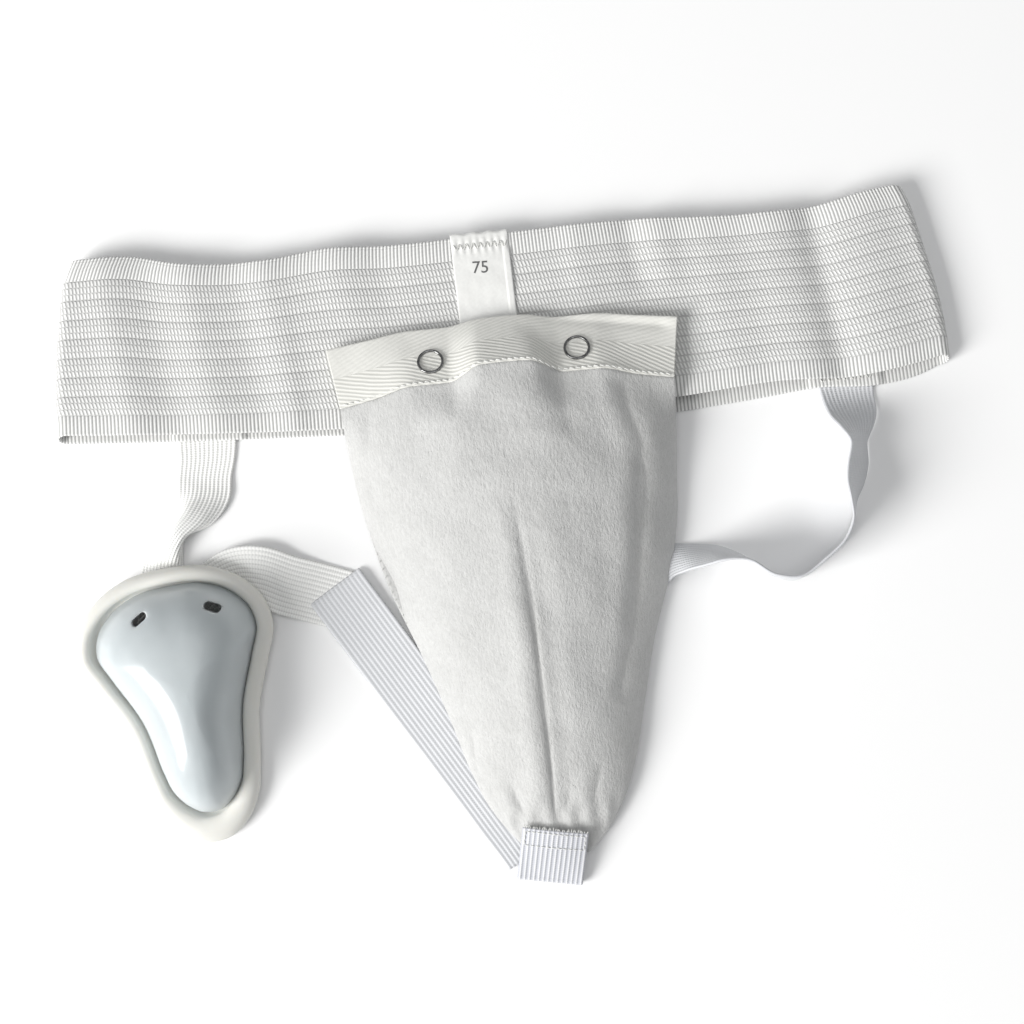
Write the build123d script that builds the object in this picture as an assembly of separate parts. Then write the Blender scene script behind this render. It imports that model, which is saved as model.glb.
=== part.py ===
from build123d import *
import math
import os

# Groin protector laid flat on a table, in millimetres.
# +X runs along the waistband, +Y from the pouch tip to the waistband, +Z is up.
# The origin is under the middle of the laid-out object, on the table.

# ---- driving dimensions --------------------------------------------------
ELASTIC = 1.4                # waistband thickness
BAND_HEIGHT = 9.4            # both band layers and the gap of the closed loop
BAND_HALF = ((54, 190.0), (92, 187.0), (117, 182.0), (143, 174.0))   # (y, half width)
EDGE_SPAN = 215.0            # each band edge is an arc, given at x = +-EDGE_SPAN and in the middle
NEAR_LOW = (71.0, 59.6)
NEAR_TOP = (143.6, 135.8)
FAR_LOW = (68.4, 55.6)
FAR_TOP = (143.2, 131.0)
STRAP_W = 26.0               # leg elastic width
STRAP_T = 1.2                # leg elastic thickness
STRAP_OVERLAP = 12.0         # how far each leg elastic is sewn behind the band
LEFT_STRAP_X = -127.0        # where the leg elastics leave the band
RIGHT_STRAP_X = 145.0
TAB_W = 28.0                 # crotch tab elastic
TAB_T = 1.2
TAB_TURN = -11.0             # the tab lies slightly askew, degrees
TAPE_W = 26.0                # herringbone header tape
TAPE_T = 1.1                 # tape thickness, measured along Z
TAPE_GAP = 2.4               # between the two closed tapes, along Z
FLEECE = 1.2                 # pouch front thickness
BACKING = 0.9                # pouch back thickness
POUCH_X = 1.0                # middle of the header
SNAP_HALF = 30.5             # half the distance between the snaps
SNAP_DROP = 17.0             # snap centre, down the tape from its top edge
SNAP_TILT = 23.0             # slope of the tape at a snap, degrees
STUD_R = 1.8
SOCKET_R = 5.2
SOCKET_HOLE_R = 2.25
SOCKET_T = 1.4
FLANGE_T = 0.5
RING_R = 5.6
RING_WIRE = 1.1
SEAM_GAP = 1.5               # clearance between the moving tape and the pouch front
CUP_TURN = 6.1               # the loose cup lies askew, degrees about Z
CUP_TILT = 1.7               # its upper end rests on the elastic, degrees about X
CUP_TOP = (-150.5, 8.9)      # upper end of the cup's centre line
CUP_WALL = 2.3
CUP_HEIGHT = 34.5
THREAD = 0.45                # sewing thread thickness

os.makedirs("parts", exist_ok=True)
nodes = {}


def face_of(points):
    """Planar face through a closed run of points."""
    return Face(Wire.make_polygon([Vector(*p) for p in points], close=True))


def slab(points, low, high):
    """Vertical prism over a closed plan polygon."""
    base = face_of([(x, y, low) for x, y in points])
    return extrude(base, amount=high - low, dir=(0, 0, 1))


def at_angle(degrees):
    """Unit vector in plan at an angle from +X."""
    return Vector(math.cos(math.radians(degrees)), math.sin(math.radians(degrees)), 0)


# ---- waistband: one closed loop of wide elastic, pressed flat --------------
def stadium(y, half, inset):
    """Cross-section of the flattened loop in the XZ plane at height y."""
    radius = BAND_HEIGHT / 2 - inset
    reach = half - BAND_HEIGHT / 2
    mid = BAND_HEIGHT / 2
    top = Line((-reach, y, mid + radius), (reach, y, mid + radius))
    right = ThreePointArc((reach, y, mid + radius), (reach + radius, y, mid), (reach, y, mid - radius))
    low = Line((reach, y, mid - radius), (-reach, y, mid - radius))
    left = ThreePointArc((-reach, y, mid - radius), (-reach - radius, y, mid), (-reach, y, mid + radius))
    return Face(Wire([top, right, low, left]))


def band_outline(bottom, top, low, high):
    """Prism over one band layer, between its lower and upper edge."""
    left_low = (-EDGE_SPAN, bottom[0])
    right_low = (EDGE_SPAN, bottom[0])
    left_top = (-EDGE_SPAN, top[0])
    right_top = (EDGE_SPAN, top[0])
    edges = [
        ThreePointArc(left_low, (0, bottom[1]), right_low),
        Line(right_low, right_top),
        ThreePointArc(right_top, (0, top[1]), left_top),
        Line(left_top, left_low),
    ]
    base = Pos(0, 0, low) * Face(Wire(edges))
    return extrude(base, amount=high - low, dir=(0, 0, 1))


def make_waistband():
    sleeve = loft([stadium(y, half, 0) for y, half in BAND_HALF], ruled=True)
    hollow = loft([stadium(y, half, ELASTIC) for y, half in BAND_HALF], ruled=True)
    ring = sleeve - hollow
    mid = BAND_HEIGHT / 2
    near = ring & band_outline(NEAR_LOW, NEAR_TOP, mid, 20)
    far = ring & band_outline(FAR_LOW, FAR_TOP, -5, mid)
    band = near + far
    for x in (LEFT_STRAP_X, RIGHT_STRAP_X):
        low = STRAP_T + 0.05
        pocket_x = STRAP_W / 2 + 0.4
        pocket_top = edge_y(FAR_LOW, x) + STRAP_OVERLAP + 0.4
        pocket = slab([(x - pocket_x, 40), (x + pocket_x, 40), (x + pocket_x, pocket_top),
                       (x - pocket_x, pocket_top)], -1, low)
        out = pocket_x + ELASTIC
        cover = slab([(x - out, 40), (x + out, 40), (x + out, pocket_top + ELASTIC),
                      (x - out, pocket_top + ELASTIC)], low, low + ELASTIC)
        cover = cover & band_outline(FAR_LOW, FAR_TOP, -5, mid)
        band = band - pocket + cover
    return band


def edge_y(edge, x):
    """Height of a band edge at x, on its circular arc."""
    rise = edge[0] - edge[1]
    radius = (EDGE_SPAN ** 2 + rise ** 2) / (2 * rise)
    return edge[1] + radius - math.sqrt(radius ** 2 - x ** 2)


nodes["waistband"] = make_waistband()


# ---- size label: satin ribbon folded over the band's upper edge ------------
LABEL_X = (-16.8, 7.6)
LABEL_T = 0.4
LABEL_LOW = 101.2
LABEL_BACK = 124.0
LABEL_TOP = edge_y(NEAR_TOP, 0) + 1.0


def make_label():
    top = BAND_HEIGHT
    under = BAND_HEIGHT - ELASTIC
    low, high = LABEL_X
    front = slab([(low, LABEL_LOW), (high, LABEL_LOW), (high, LABEL_TOP), (low, LABEL_TOP)], top, top + LABEL_T)
    bridge = slab([(low, LABEL_TOP - LABEL_T), (high, LABEL_TOP - LABEL_T), (high, LABEL_TOP),
                   (low, LABEL_TOP)], under - LABEL_T, top + LABEL_T)
    back = slab([(low, LABEL_BACK), (high, LABEL_BACK), (high, LABEL_TOP), (low, LABEL_TOP)],
                under - LABEL_T, under)
    return front + bridge + back


nodes["size_label"] = make_label()


def stitch(start, end, up, width=THREAD):
    """One visible thread between two points, lying on a surface whose normal is up."""
    start, end = Vector(*start), Vector(*end)
    along = end - start
    place = Plane(origin=(start + end) * 0.5, x_dir=along, z_dir=Vector(*up))
    return place * Box(along.length, width, THREAD, align=(Align.CENTER, Align.CENTER, Align.CENTER))


def zigzag(start, end, up, depth, count):
    """Zigzag row between two points: 2 * count threads that meet near their ends."""
    start, end = Vector(*start), Vector(*end)
    along = (end - start) * (1 / (2 * count))
    side = along.normalized().cross(Vector(*up)) * (depth / 2)
    threads = []
    for step in range(2 * count):
        sign = 1 if step % 2 else -1
        a = start + along * (step + 0.12) - side * sign
        b = start + along * (step + 0.88) + side * sign
        threads.append(stitch(tuple(a), tuple(b), up))
    return threads


def running(points, up, pitch, fill=0.75):
    """Running stitches along straight stretches between points."""
    threads = []
    for a, b in zip(points, points[1:]):
        a, b = Vector(*a), Vector(*b)
        count = max(1, round((b - a).length / pitch))
        for step in range(count):
            first = a + (b - a) * ((step + 0.5 - fill / 2) / count)
            last = a + (b - a) * ((step + 0.5 + fill / 2) / count)
            threads.append(stitch(tuple(first), tuple(last), up))
    return threads


label_z = BAND_HEIGHT + LABEL_T + THREAD * 0.3
nodes["label_stitches"] = Compound(children=zigzag(
    (LABEL_X[0] + 0.8, 131.6, label_z), (LABEL_X[1] - 0.8, 131.6, label_z), (0, 0, 1), 2.4, 8))


# ---- header: two tapes that close the pouch mouth with snaps ---------------
# (offset from the pouch middle, upper edge y, front slope, back slope in degrees)
HEADER = (
    (73, 93.6, 4, 4),
    (55, 96.0, 13, 10),
    (38, 98.2, SNAP_TILT, SNAP_TILT),
    (24, 98.2, SNAP_TILT, SNAP_TILT),
    (10, 100.4, 38, SNAP_TILT),
)
BACK_Z = BAND_HEIGHT                       # underside of the back tape at its upper edge
FRONT_Z = BACK_Z + TAPE_T + TAPE_GAP       # underside of the front tape at its upper edge


def header_stations(front):
    """(x, upper y, lower y, rise) of a tape at each station, from left to right."""
    rows = []
    for offset, top, slope_front, slope_back in HEADER:
        slope = math.radians(slope_front if front else slope_back)
        rows.append((offset, top, top - TAPE_W * math.cos(slope), TAPE_W * math.sin(slope)))
    left = [(POUCH_X - row[0],) + row[1:] for row in rows]
    right = [(POUCH_X + row[0],) + row[1:] for row in reversed(rows)]
    return left + right


def make_tape(front):
    base = FRONT_Z if front else BACK_Z
    sections = []
    for x, top, low, rise in header_stations(front):
        sections.append(face_of([
            (x, top, base), (x, low, base + rise),
            (x, low, base + rise + TAPE_T), (x, top, base + TAPE_T)]))
    return loft(sections, ruled=True)


nodes["header_tape_front"] = make_tape(True)
nodes["header_tape_back"] = make_tape(False)


def tape_points(front, share):
    """Points on a tape's outer face, a share of the way down from its upper edge."""
    base = (FRONT_Z if front else BACK_Z) + TAPE_T + THREAD * 0.3
    return [(x, top + (low - top) * share, base + rise * share)
            for x, top, low, rise in header_stations(front)]


def tape_row(front, share, pitch):
    points = tape_points(front, share)
    points[0] = tuple(Vector(*points[0]) + (Vector(*points[1]) - Vector(*points[0])) * 0.08)
    points[-1] = tuple(Vector(*points[-1]) + (Vector(*points[-2]) - Vector(*points[-1])) * 0.08)
    return running(points, (0, 0.3, 0.95), pitch)


nodes["header_stitches"] = Compound(children=tape_row(True, 0.94, 3.2))
nodes["back_tape_stitches"] = Compound(children=tape_row(False, 0.08, 5.0))


# ---- snaps ------------------------------------------------------------------
def snap_plane(side):
    """Plane on the back tape's outer face at a snap, its Z along the snap's axis."""
    slope = math.radians(SNAP_TILT)
    top = HEADER[2][1]
    y = top - SNAP_DROP * math.cos(slope)
    z = BACK_Z + TAPE_T + SNAP_DROP * math.sin(slope)
    return Plane(origin=(POUCH_X + side * SNAP_HALF, y, z), x_dir=(1, 0, 0),
                 z_dir=(0, math.sin(slope), math.cos(slope)))


TAPE_NORMAL = TAPE_T * math.cos(math.radians(SNAP_TILT))
INNER = TAPE_GAP * math.cos(math.radians(SNAP_TILT))     # face to face, along the snap's axis
BASE = (Align.CENTER, Align.CENTER, Align.MIN)


def prongs(low, length, radius):
    """Five small prongs of a snap ring, which pass through the tape."""
    return [Rot(0, 0, 72 * k) * Pos(radius, 0, low) * Box(0.5, 1.2, length, align=BASE) for k in range(5)]


def ring_with_prongs(low, outer, inner, height, prong_low):
    """Open snap ring between low and low + height, rounded on its outer side."""
    ring = Pos(0, 0, low) * (Cylinder(outer, height, align=BASE) - Cylinder(inner, height, align=BASE))
    for prong in prongs(prong_low, TAPE_NORMAL, (outer + inner) / 2):
        ring = ring + prong
    return ring


for side, label in ((-1, "left"), (1, "right")):
    place = snap_plane(side)
    stud = Cylinder(5.0, FLANGE_T, align=BASE)
    post = Pos(0, 0, FLANGE_T) * Cylinder(STUD_R, 1.35, align=BASE)
    post = fillet(post.edges().group_by(Axis.Z)[-1], 0.4)
    nodes["snap_stud_" + label] = place * (stud + post)
    back_ring = ring_with_prongs(-TAPE_NORMAL - 0.7, 5.4, 3.8, 0.7, -TAPE_NORMAL)
    nodes["snap_back_ring_" + label] = place * back_ring
    socket = Cylinder(SOCKET_R, SOCKET_T, align=BASE) - Cylinder(SOCKET_HOLE_R, SOCKET_T, align=BASE)
    socket = fillet(socket.edges().group_by(Axis.Z)[0].sort_by(SortBy.RADIUS)[-1:], 0.5)
    nodes["snap_socket_" + label] = place * Pos(0, 0, INNER - SOCKET_T) * socket
    cap = Pos(0, 0, INNER + TAPE_NORMAL) * (
        Cylinder(RING_R, 0.9, align=BASE) - Cylinder(RING_R - RING_WIRE, 0.9, align=BASE))
    cap = fillet(cap.edges().group_by(Axis.Z)[-1], 0.42)
    for prong in prongs(INNER, TAPE_NORMAL, RING_R - RING_WIRE / 2):
        cap = cap + prong
    nodes["snap_ring_" + label] = place * cap


# ---- pouch: domed fleece front and a flat back, sewn along the sides -------
# (y, middle x, half width, edge z, front height, back height, roundness)
POUCH = (
    (82, 1.0, 71.5, 13.2, 16.6, 7.6, 1.0),
    (68, 1.0, 70.0, 12.2, 19.0, 7.6, 0.92),
    (58, 1.2, 69.8, 10.5, 21.6, 6.4, 0.8),
    (44, 1.6, 69.0, 7.2, 25.6, 4.2, 0.68),
    (28, 2.0, 67.4, 4.7, 28.0, 1.9, 0.62),
    (12, 3.0, 65.2, 3.7, 27.8, 0.0, 0.60),
    (-10, 3.6, 60.0, 3.7, 25.9, 0.0, 0.60),
    (-40, 4.2, 49.4, 3.7, 22.6, 0.0, 0.60),
    (-68, 5.2, 41.2, 3.9, 18.6, 0.0, 0.60),
    (-90, 5.6, 35.0, 4.7, 13.8, 0.0, 0.62),
    (-106, 5.9, 28.6, 4.7, 9.2, 0.0, 0.66),
    (-118, 6.2, 20.0, 4.7, 4.8, 0.0, 0.72),
    (-128, 5.5, 9.5, 4.7, 1.9, 0.0, 0.8),
)
SHARES = (-1, -0.94, -0.8, -0.6, -0.32, 0, 0.32, 0.6, 0.8, 0.94, 1)


def dome_section(row, thin):
    """Closed dome section; thin is 0 for the outer face or the cloth thickness."""
    y, middle, half, edge, height, _, roundness = row
    half = half - 1.4 * thin
    height = height - thin
    points = [(middle + s * half, y, edge + height * (1 - abs(s) ** 2) ** roundness) for s in SHARES]
    return Face(Wire([Spline(*points), Line(points[-1], points[0])]))


def back_section(row):
    """Closed section of the back: flat at the side seams, raised in the middle near the header."""
    y, middle, half, edge, _, height, _ = row
    flat = half - 4
    shares = (-1, -0.8, -0.45, 0, 0.45, 0.8, 1)
    crown = [(middle + s * flat, edge + height * (1 - s * s) ** 0.6) for s in shares]
    over = [(middle - half, edge)] + crown + [(middle + half, edge)]
    under = [(x, z - BACKING) for x, z in reversed(over)]
    return face_of([(x, y, z) for x, z in over + under])


def below_seam(front, gap):
    """Prism over everything below the tape's lower edge in plan."""
    edge = [(x, low - gap) for x, _, low, _ in header_stations(front)]
    edge = [(-100, edge[0][1])] + edge + [(100, edge[-1][1])]
    return slab(edge + [(100, -200), (-100, -200)], -10, 80)


def make_front():
    outer = loft([dome_section(row, 0) for row in POUCH], ruled=True)
    inner = loft([dome_section(row, FLEECE) for row in POUCH], ruled=True)
    return (outer - inner) & below_seam(True, SEAM_GAP)


def make_back():
    return loft([back_section(row) for row in POUCH], ruled=True) & below_seam(False, 0.05)


nodes["pouch_front_panel"] = make_front()
nodes["pouch_back_panel"] = make_back()


def side_seam():
    """Overlock threads that wrap the pouch's side edges."""
    threads = []
    for side in (-1, 1):
        for upper, lower in zip(POUCH[1:-1], POUCH[2:]):
            span = upper[0] - lower[0]
            count = max(1, round(span / 7.0))
            for step in range(count):
                t = (step + 0.5) / count
                y = upper[0] - span * t
                edge = upper[1] + side * upper[2] + (lower[1] + side * lower[2] - upper[1] - side * upper[2]) * t
                z = upper[3] + (lower[3] - upper[3]) * t
                threads.append(Pos(edge + side * THREAD / 2, y, z) * Box(THREAD, 1.6, 1.6))
    return Compound(children=threads)


nodes["pouch_seam_stitches"] = side_seam()


# ---- leg elastics -----------------------------------------------------------
def strap_corners(x, y, z, heading, roll, width, thickness):
    """Corners across a strap: heading of the strap in plan, roll of its width from level."""
    across = at_angle(heading - 90)
    turn = math.radians(roll)
    wide = across * math.cos(turn) + Vector(0, 0, 1) * math.sin(turn)
    normal = across * (-math.sin(turn)) + Vector(0, 0, 1) * math.cos(turn)
    middle = Vector(x, y, z)
    w, t = wide * (width / 2), normal * (thickness / 2)
    return [middle - w - t, middle + w - t, middle + w + t, middle - w + t]


FLAT = STRAP_T / 2 + 0.02      # centre height of a strap lying on the table

# (x, y, z, heading, roll, width, thickness)
LEFT_UPPER = (
    (LEFT_STRAP_X, edge_y(FAR_LOW, LEFT_STRAP_X) + STRAP_OVERLAP, FLAT, -90, 0, 26, 1.2),
    (LEFT_STRAP_X, 57, FLAT, -90, 0, 26, 1.2),
    (-129, 43, FLAT, -98, 0, 25, 1.2),
    (-134, 30, 1.6, -122, 0, 22, 1.2),
    (-145, 19, 1.6, -130, 0, 17, 1.2),
    (-152.5, 8, FLAT, -108, 0, 17, 1.2),
    (-155, -4, FLAT, -95, 0, 20, 1.2),
    (-154, -13, FLAT, -80, 0, 22, 1.2),
)
LEFT_LOOP = (
    (-154, -14, 1.25, 40, 0, 22, 2.42),
    (-150, -13, 1.92, 40, 0, 22, 1.2),
    (-139, -6, 1.92, 38, 0, 22, 1.2),
    (-131, -1, 0.8, 36, 0, 22, 1.2),
    (-122, 3, FLAT, 22, 0, 24, 1.2),
    (-110, 1, FLAT, -6, 0, 26, 1.2),
    (-98, -4.6, 1.4, -20, 0, 26, 1.2),
    (-84, -9, FLAT, -20, 0, 26, 1.2),
    (-73, -13, FLAT, -20, 0, 26, 1.2),
)
LEFT_DIAGONAL = (
    (-79.2, -7.0, 1.9, -59, 0, 26, 1.32),
    (-66, -29, 1.9, -59, 0, 26, 1.32),
    (-54, -49, FLAT, -59, 0, 26, 1.2),
    (-26, -95.5, FLAT, -59, 0, 26, 1.2),
    (-18, -108.5, 1.85, -59, 0, 26, 1.2),
    (-7, -127, 1.85, -62, 0, 24, 1.2),
)
RIGHT = (
    (RIGHT_STRAP_X, edge_y(FAR_LOW, RIGHT_STRAP_X) + STRAP_OVERLAP, FLAT, -90, 0, 26, 1.2),
    (RIGHT_STRAP_X, 55, FLAT, -90, 0, 26, 1.2),
    (147.0, 42, 8.4, -90, -40, 24, 1.2),
    (148.0, 28, 12.4, -96, -70, 25, 1.2),
    (146.0, 14, 13.2, -100, -86, 26, 1.2),
    (142.6, 1, 13.2, -112, -90, 26, 1.2),
    (133.5, -9.5, 13.2, -142, -90, 26, 1.2),
    (119.0, -18.5, 13.2, -164, -90, 26, 1.2),
    (105.0, -17.0, 13.2, 156, -90, 26, 1.2),
    (95.0, -10.8, 12.9, 158, -78, 26, 1.2),
    (85.0, -8.0, 7.9, 172, -34, 26, 1.2),
    (75.0, -8.6, 1.1, -170, 0, 26, 1.2),
    (58.0, -14.0, FLAT, -150, 0, 24, 1.2),
    (45.0, -27, FLAT, -122, 0, 24, 1.2),
    (37.0, -50, FLAT, -110, 0, 26, 1.2),
    (29.0, -72, FLAT, -110, 0, 26, 1.2),
    (20.0, -97, 3.12, -110, 0, 24, 1.2),
    (10.0, -126, 3.12, -106, 0, 22, 1.2),
)


def strap(stations):
    """Flat elastic through its stations, in facets whose diagonals match on both faces."""
    rings = [strap_corners(*row) for row in stations]
    faces = [Face(Wire.make_polygon(ring, close=True)) for ring in (rings[0], rings[-1])]
    for here, there in zip(rings, rings[1:]):
        for k in range(4):
            a, b, c, d = here[k], here[(k + 1) % 4], there[(k + 1) % 4], there[k]
            halves = ([a, b, d], [b, c, d]) if k == 2 else ([a, b, c], [a, c, d])
            faces += [Face(Wire.make_polygon(half, close=True)) for half in halves]
    return Solid(Shell(faces))


nodes["leg_strap_left"] = strap(LEFT_UPPER) + strap(LEFT_LOOP) + strap(LEFT_DIAGONAL)
nodes["leg_strap_right"] = strap(RIGHT)


def tack(x):
    """Two zigzag rows that sew a leg elastic to the back of the band."""
    hem = edge_y(FAR_LOW, x)
    z = STRAP_T + 0.05 + ELASTIC + THREAD * 0.3
    rows = []
    for lift in (4.0, 9.0):
        rows += zigzag((x - 11.5, hem + lift, z), (x + 11.5, hem + lift, z), (0, 0, 1), 2.2, 6)
    return Compound(children=rows)


nodes["strap_tack_left"] = tack(LEFT_STRAP_X)
nodes["strap_tack_right"] = tack(RIGHT_STRAP_X)


# ---- crotch tab: short elastic folded round the pouch tip ------------------
TAB_TOP_Y = -114.6
TAB_FOLD_Y = -136.15
TAB_TOP_Z = 11.6             # underside of the front leaf at its upper edge
TAB_BEND_R = 2.45            # outer radius of the fold
TAB_MID_X = 1.6


def make_tab():
    upper = 2 * TAB_BEND_R - TAB_T      # underside of the front leaf at the fold
    profile = [
        Line((TAB_TOP_Y, TAB_TOP_Z), (TAB_TOP_Y, TAB_TOP_Z + TAB_T)),
        Line((TAB_TOP_Y, TAB_TOP_Z + TAB_T), (TAB_FOLD_Y, upper + TAB_T)),
        ThreePointArc((TAB_FOLD_Y, upper + TAB_T), (TAB_FOLD_Y - TAB_BEND_R, TAB_BEND_R), (TAB_FOLD_Y, 0)),
        Line((TAB_FOLD_Y, 0), (TAB_TOP_Y + 4, 0)),
        Line((TAB_TOP_Y + 4, 0), (TAB_TOP_Y + 4, TAB_T)),
        Line((TAB_TOP_Y + 4, TAB_T), (TAB_FOLD_Y, TAB_T)),
        ThreePointArc((TAB_FOLD_Y, TAB_T), (TAB_FOLD_Y - TAB_BEND_R + TAB_T, TAB_BEND_R), (TAB_FOLD_Y, upper)),
        Line((TAB_FOLD_Y, upper), (TAB_TOP_Y, TAB_TOP_Z)),
    ]
    side = Plane(origin=(TAB_MID_X - TAB_W / 2, 0, 0), x_dir=(0, 1, 0), z_dir=(1, 0, 0))
    return extrude(side * Face(Wire(profile)), amount=TAB_W, dir=(1, 0, 0))


def turn_tab(shape):
    """The tab and its stitches lie askew to the pouch."""
    pivot = (TAB_MID_X, -127.0, 0)
    return shape.rotate(Axis(pivot, (0, 0, 1)), TAB_TURN)


def tab_stitch_row():
    slope = (TAB_TOP_Z - 2 * TAB_BEND_R + TAB_T) / (TAB_TOP_Y - TAB_FOLD_Y)
    lift = TAB_T + THREAD * 0.3

    def on_leaf(x, y):
        return (x, y, TAB_TOP_Z + (y - TAB_TOP_Y) * slope + lift)

    low, high = TAB_MID_X - TAB_W / 2 + 1.4, TAB_MID_X + TAB_W / 2 - 1.4
    first, second = TAB_TOP_Y - 1.4, TAB_TOP_Y - 7.6
    box = [on_leaf(low, first), on_leaf(high, first), on_leaf(high, second), on_leaf(low, second),
           on_leaf(low, first)]
    return Compound(children=running(box, (0, -slope, 1), 2.6))


nodes["crotch_tab"] = turn_tab(make_tab())
nodes["tab_stitches"] = turn_tab(tab_stitch_row())


# ---- cup: hard shell with a soft rim, loose beside the pouch ----------------
# Half outline of the rim: (half width, distance from the upper end along the centre line)
CUP_HALF = ((16, 1.8), (30.5, 10), (39.2, 21), (40.6, 32), (35.6, 46), (29.6, 61), (26.2, 77),
            (23.6, 91), (18.6, 104), (8.5, 115.4))
CUP_LENGTH = 117.5
# (z, scale across, scale along, shift towards the lower end) of the shell's outer face
CUP_LEVELS = ((1.2, 1.0, 1.0, 0), (9, 0.975, 0.985, 0), (17, 0.90, 0.94, -0.4), (24, 0.77, 0.85, -1.0),
              (29.5, 0.58, 0.70, -1.6), (33, 0.36, 0.50, -2.2), (CUP_HEIGHT, 0.17, 0.30, -2.6))


def cup_points(inset):
    """Rim outline moved inwards by inset, as points of a closed curve."""
    half = list(CUP_HALF)
    points = [(0, 0)] + half + [(0, CUP_LENGTH)] + [(-w, d) for w, d in reversed(half)]
    moved = []
    count = len(points)
    for k, (x, d) in enumerate(points):
        before, after = points[k - 1], points[(k + 1) % count]
        dx, dd = after[0] - before[0], after[1] - before[1]
        size = math.hypot(dx, dd)
        moved.append((x - inset * dd / size, d + inset * dx / size))
    return moved


def cup_outline(inset, z, across=1.0, along=1.0, shift=0.0):
    """Closed outline face at height z, scaled about the middle of the cup."""
    middle = 54.0
    points = [(x * across, -(middle + (d - middle) * along + shift)) for x, d in cup_points(inset)]
    return Pos(0, 0, z) * Face(Wire([Spline(*points, periodic=True)]))


SHELL_INSET = 6.2


def make_cup_shell():
    outer = loft([cup_outline(SHELL_INSET, *row) for row in CUP_LEVELS])
    inner = loft([cup_outline(SHELL_INSET + CUP_WALL, z - (CUP_WALL if z > 9 else 0.8), a, b, c)
                  for z, a, b, c in CUP_LEVELS])
    shell = outer - inner
    for side in (-1, 1):
        slot = Pos(side * 17.5, -20.5, 20) * Rot(0, 0, side * -26) * extrude(
            SlotOverall(7.2, 3.4), amount=20, dir=(0, 0, 1))
        shell = shell - slot
    return shell


def make_cup_rim(shell):
    bead = loft([cup_outline(1.6, 0), cup_outline(0.2, 1.4), cup_outline(0, 3.4), cup_outline(1.2, 5.6),
                 cup_outline(4.2, 7.2)], ruled=True)
    mouth = extrude(cup_outline(SHELL_INSET + CUP_WALL + 1.6, -1), amount=12, dir=(0, 0, 1))
    core = extrude(cup_outline(SHELL_INSET - 0.6, 3.2), amount=10, dir=(0, 0, 1))
    seat = extrude(cup_outline(SHELL_INSET + CUP_WALL + 3.0, 3.0), amount=10, dir=(0, 0, 1))
    return bead - mouth - (core & seat) - shell


def place_cup(shape):
    placed = Pos(CUP_TOP[0], CUP_TOP[1], 0) * Rot(0, 0, CUP_TURN) * shape
    tip_y = CUP_TOP[1] - CUP_LENGTH
    return Pos(0, 0, 0.06) * placed.rotate(Axis((0, tip_y, 0), (1, 0, 0)), CUP_TILT)


shell = make_cup_shell()
nodes["cup_rim"] = place_cup(make_cup_rim(shell))
nodes["cup_shell"] = place_cup(shell)


for name, shape in nodes.items():
    export_step(shape, os.path.join("parts", name + ".step"))
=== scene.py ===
import math
from functools import partialmethod
import bmesh
import bpy
import numpy as np
from mathutils import Matrix, Vector


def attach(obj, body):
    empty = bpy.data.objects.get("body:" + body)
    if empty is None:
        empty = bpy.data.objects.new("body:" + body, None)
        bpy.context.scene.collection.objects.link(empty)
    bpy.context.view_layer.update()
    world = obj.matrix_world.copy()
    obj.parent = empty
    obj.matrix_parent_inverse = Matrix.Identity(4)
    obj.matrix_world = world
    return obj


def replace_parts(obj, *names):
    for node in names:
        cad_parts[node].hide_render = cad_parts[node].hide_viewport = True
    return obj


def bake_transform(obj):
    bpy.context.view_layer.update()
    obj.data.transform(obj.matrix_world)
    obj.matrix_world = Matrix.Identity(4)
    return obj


# Looks of the laid-out groin protector. Lengths in this script are millimetres in the part's own
# frame (+X along the waistband, +Y from the pouch tip to the waistband, +Z up); MM makes metres.
MM = 0.001
WEAVE = "Weave"              # UV map that holds each cloth's own flat millimetres
FLOOR_GAP = 0.02             # least height of an elastic's lowest points over the table

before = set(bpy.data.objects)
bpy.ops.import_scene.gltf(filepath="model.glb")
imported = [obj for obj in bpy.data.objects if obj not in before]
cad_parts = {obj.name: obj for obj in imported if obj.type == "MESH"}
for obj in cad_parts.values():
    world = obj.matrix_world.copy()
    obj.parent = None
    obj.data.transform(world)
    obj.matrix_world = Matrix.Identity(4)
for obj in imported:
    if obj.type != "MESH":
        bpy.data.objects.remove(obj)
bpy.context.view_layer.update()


# ======== curves and surfaces ========
def smooth(knots, values, at, overshoot=False):
    """Smooth curve through values at the knots; without overshoot it stays between neighbours."""
    knots, values, at = (np.asarray(a, float) for a in (knots, values, at))
    step = np.diff(knots)
    rise = np.diff(values) / step
    slope = np.concatenate([rise[:1], (rise[:-1] * step[1:] + rise[1:] * step[:-1]) / (step[:-1] + step[1:]),
                            rise[-1:]])
    if not overshoot:
        most = 3 * np.minimum(abs(rise[:-1]), abs(rise[1:]))
        slope[1:-1] = np.where(rise[:-1] * rise[1:] <= 0, 0, np.clip(slope[1:-1], -most, most))
    at = np.clip(at, knots[0], knots[-1])
    k = np.clip(np.searchsorted(knots, at, side="right") - 1, 0, len(knots) - 2)
    h = step[k]
    t = (at - knots[k]) / h
    return (values[k] * (2 * t ** 3 - 3 * t ** 2 + 1) + slope[k] * h * (t ** 3 - 2 * t ** 2 + t)
            + values[k + 1] * (3 * t ** 2 - 2 * t ** 3) + slope[k + 1] * h * (t ** 3 - t ** 2))


def through(table, at, overshoot=True):
    """Smooth curve through a short table of (position, value)."""
    table = sorted(table)
    return smooth([row[0] for row in table], [row[1] for row in table], at, overshoot)


def ease(low, high, at):
    """0 below low, 1 above high, smooth in between."""
    t = np.clip((np.asarray(at, float) - low) / (high - low), 0, 1)
    return t * t * (3 - 2 * t)


def bell(at, middle, width):
    """Soft hump of height 1."""
    return np.exp(-((at - middle) / width) ** 2)


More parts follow.
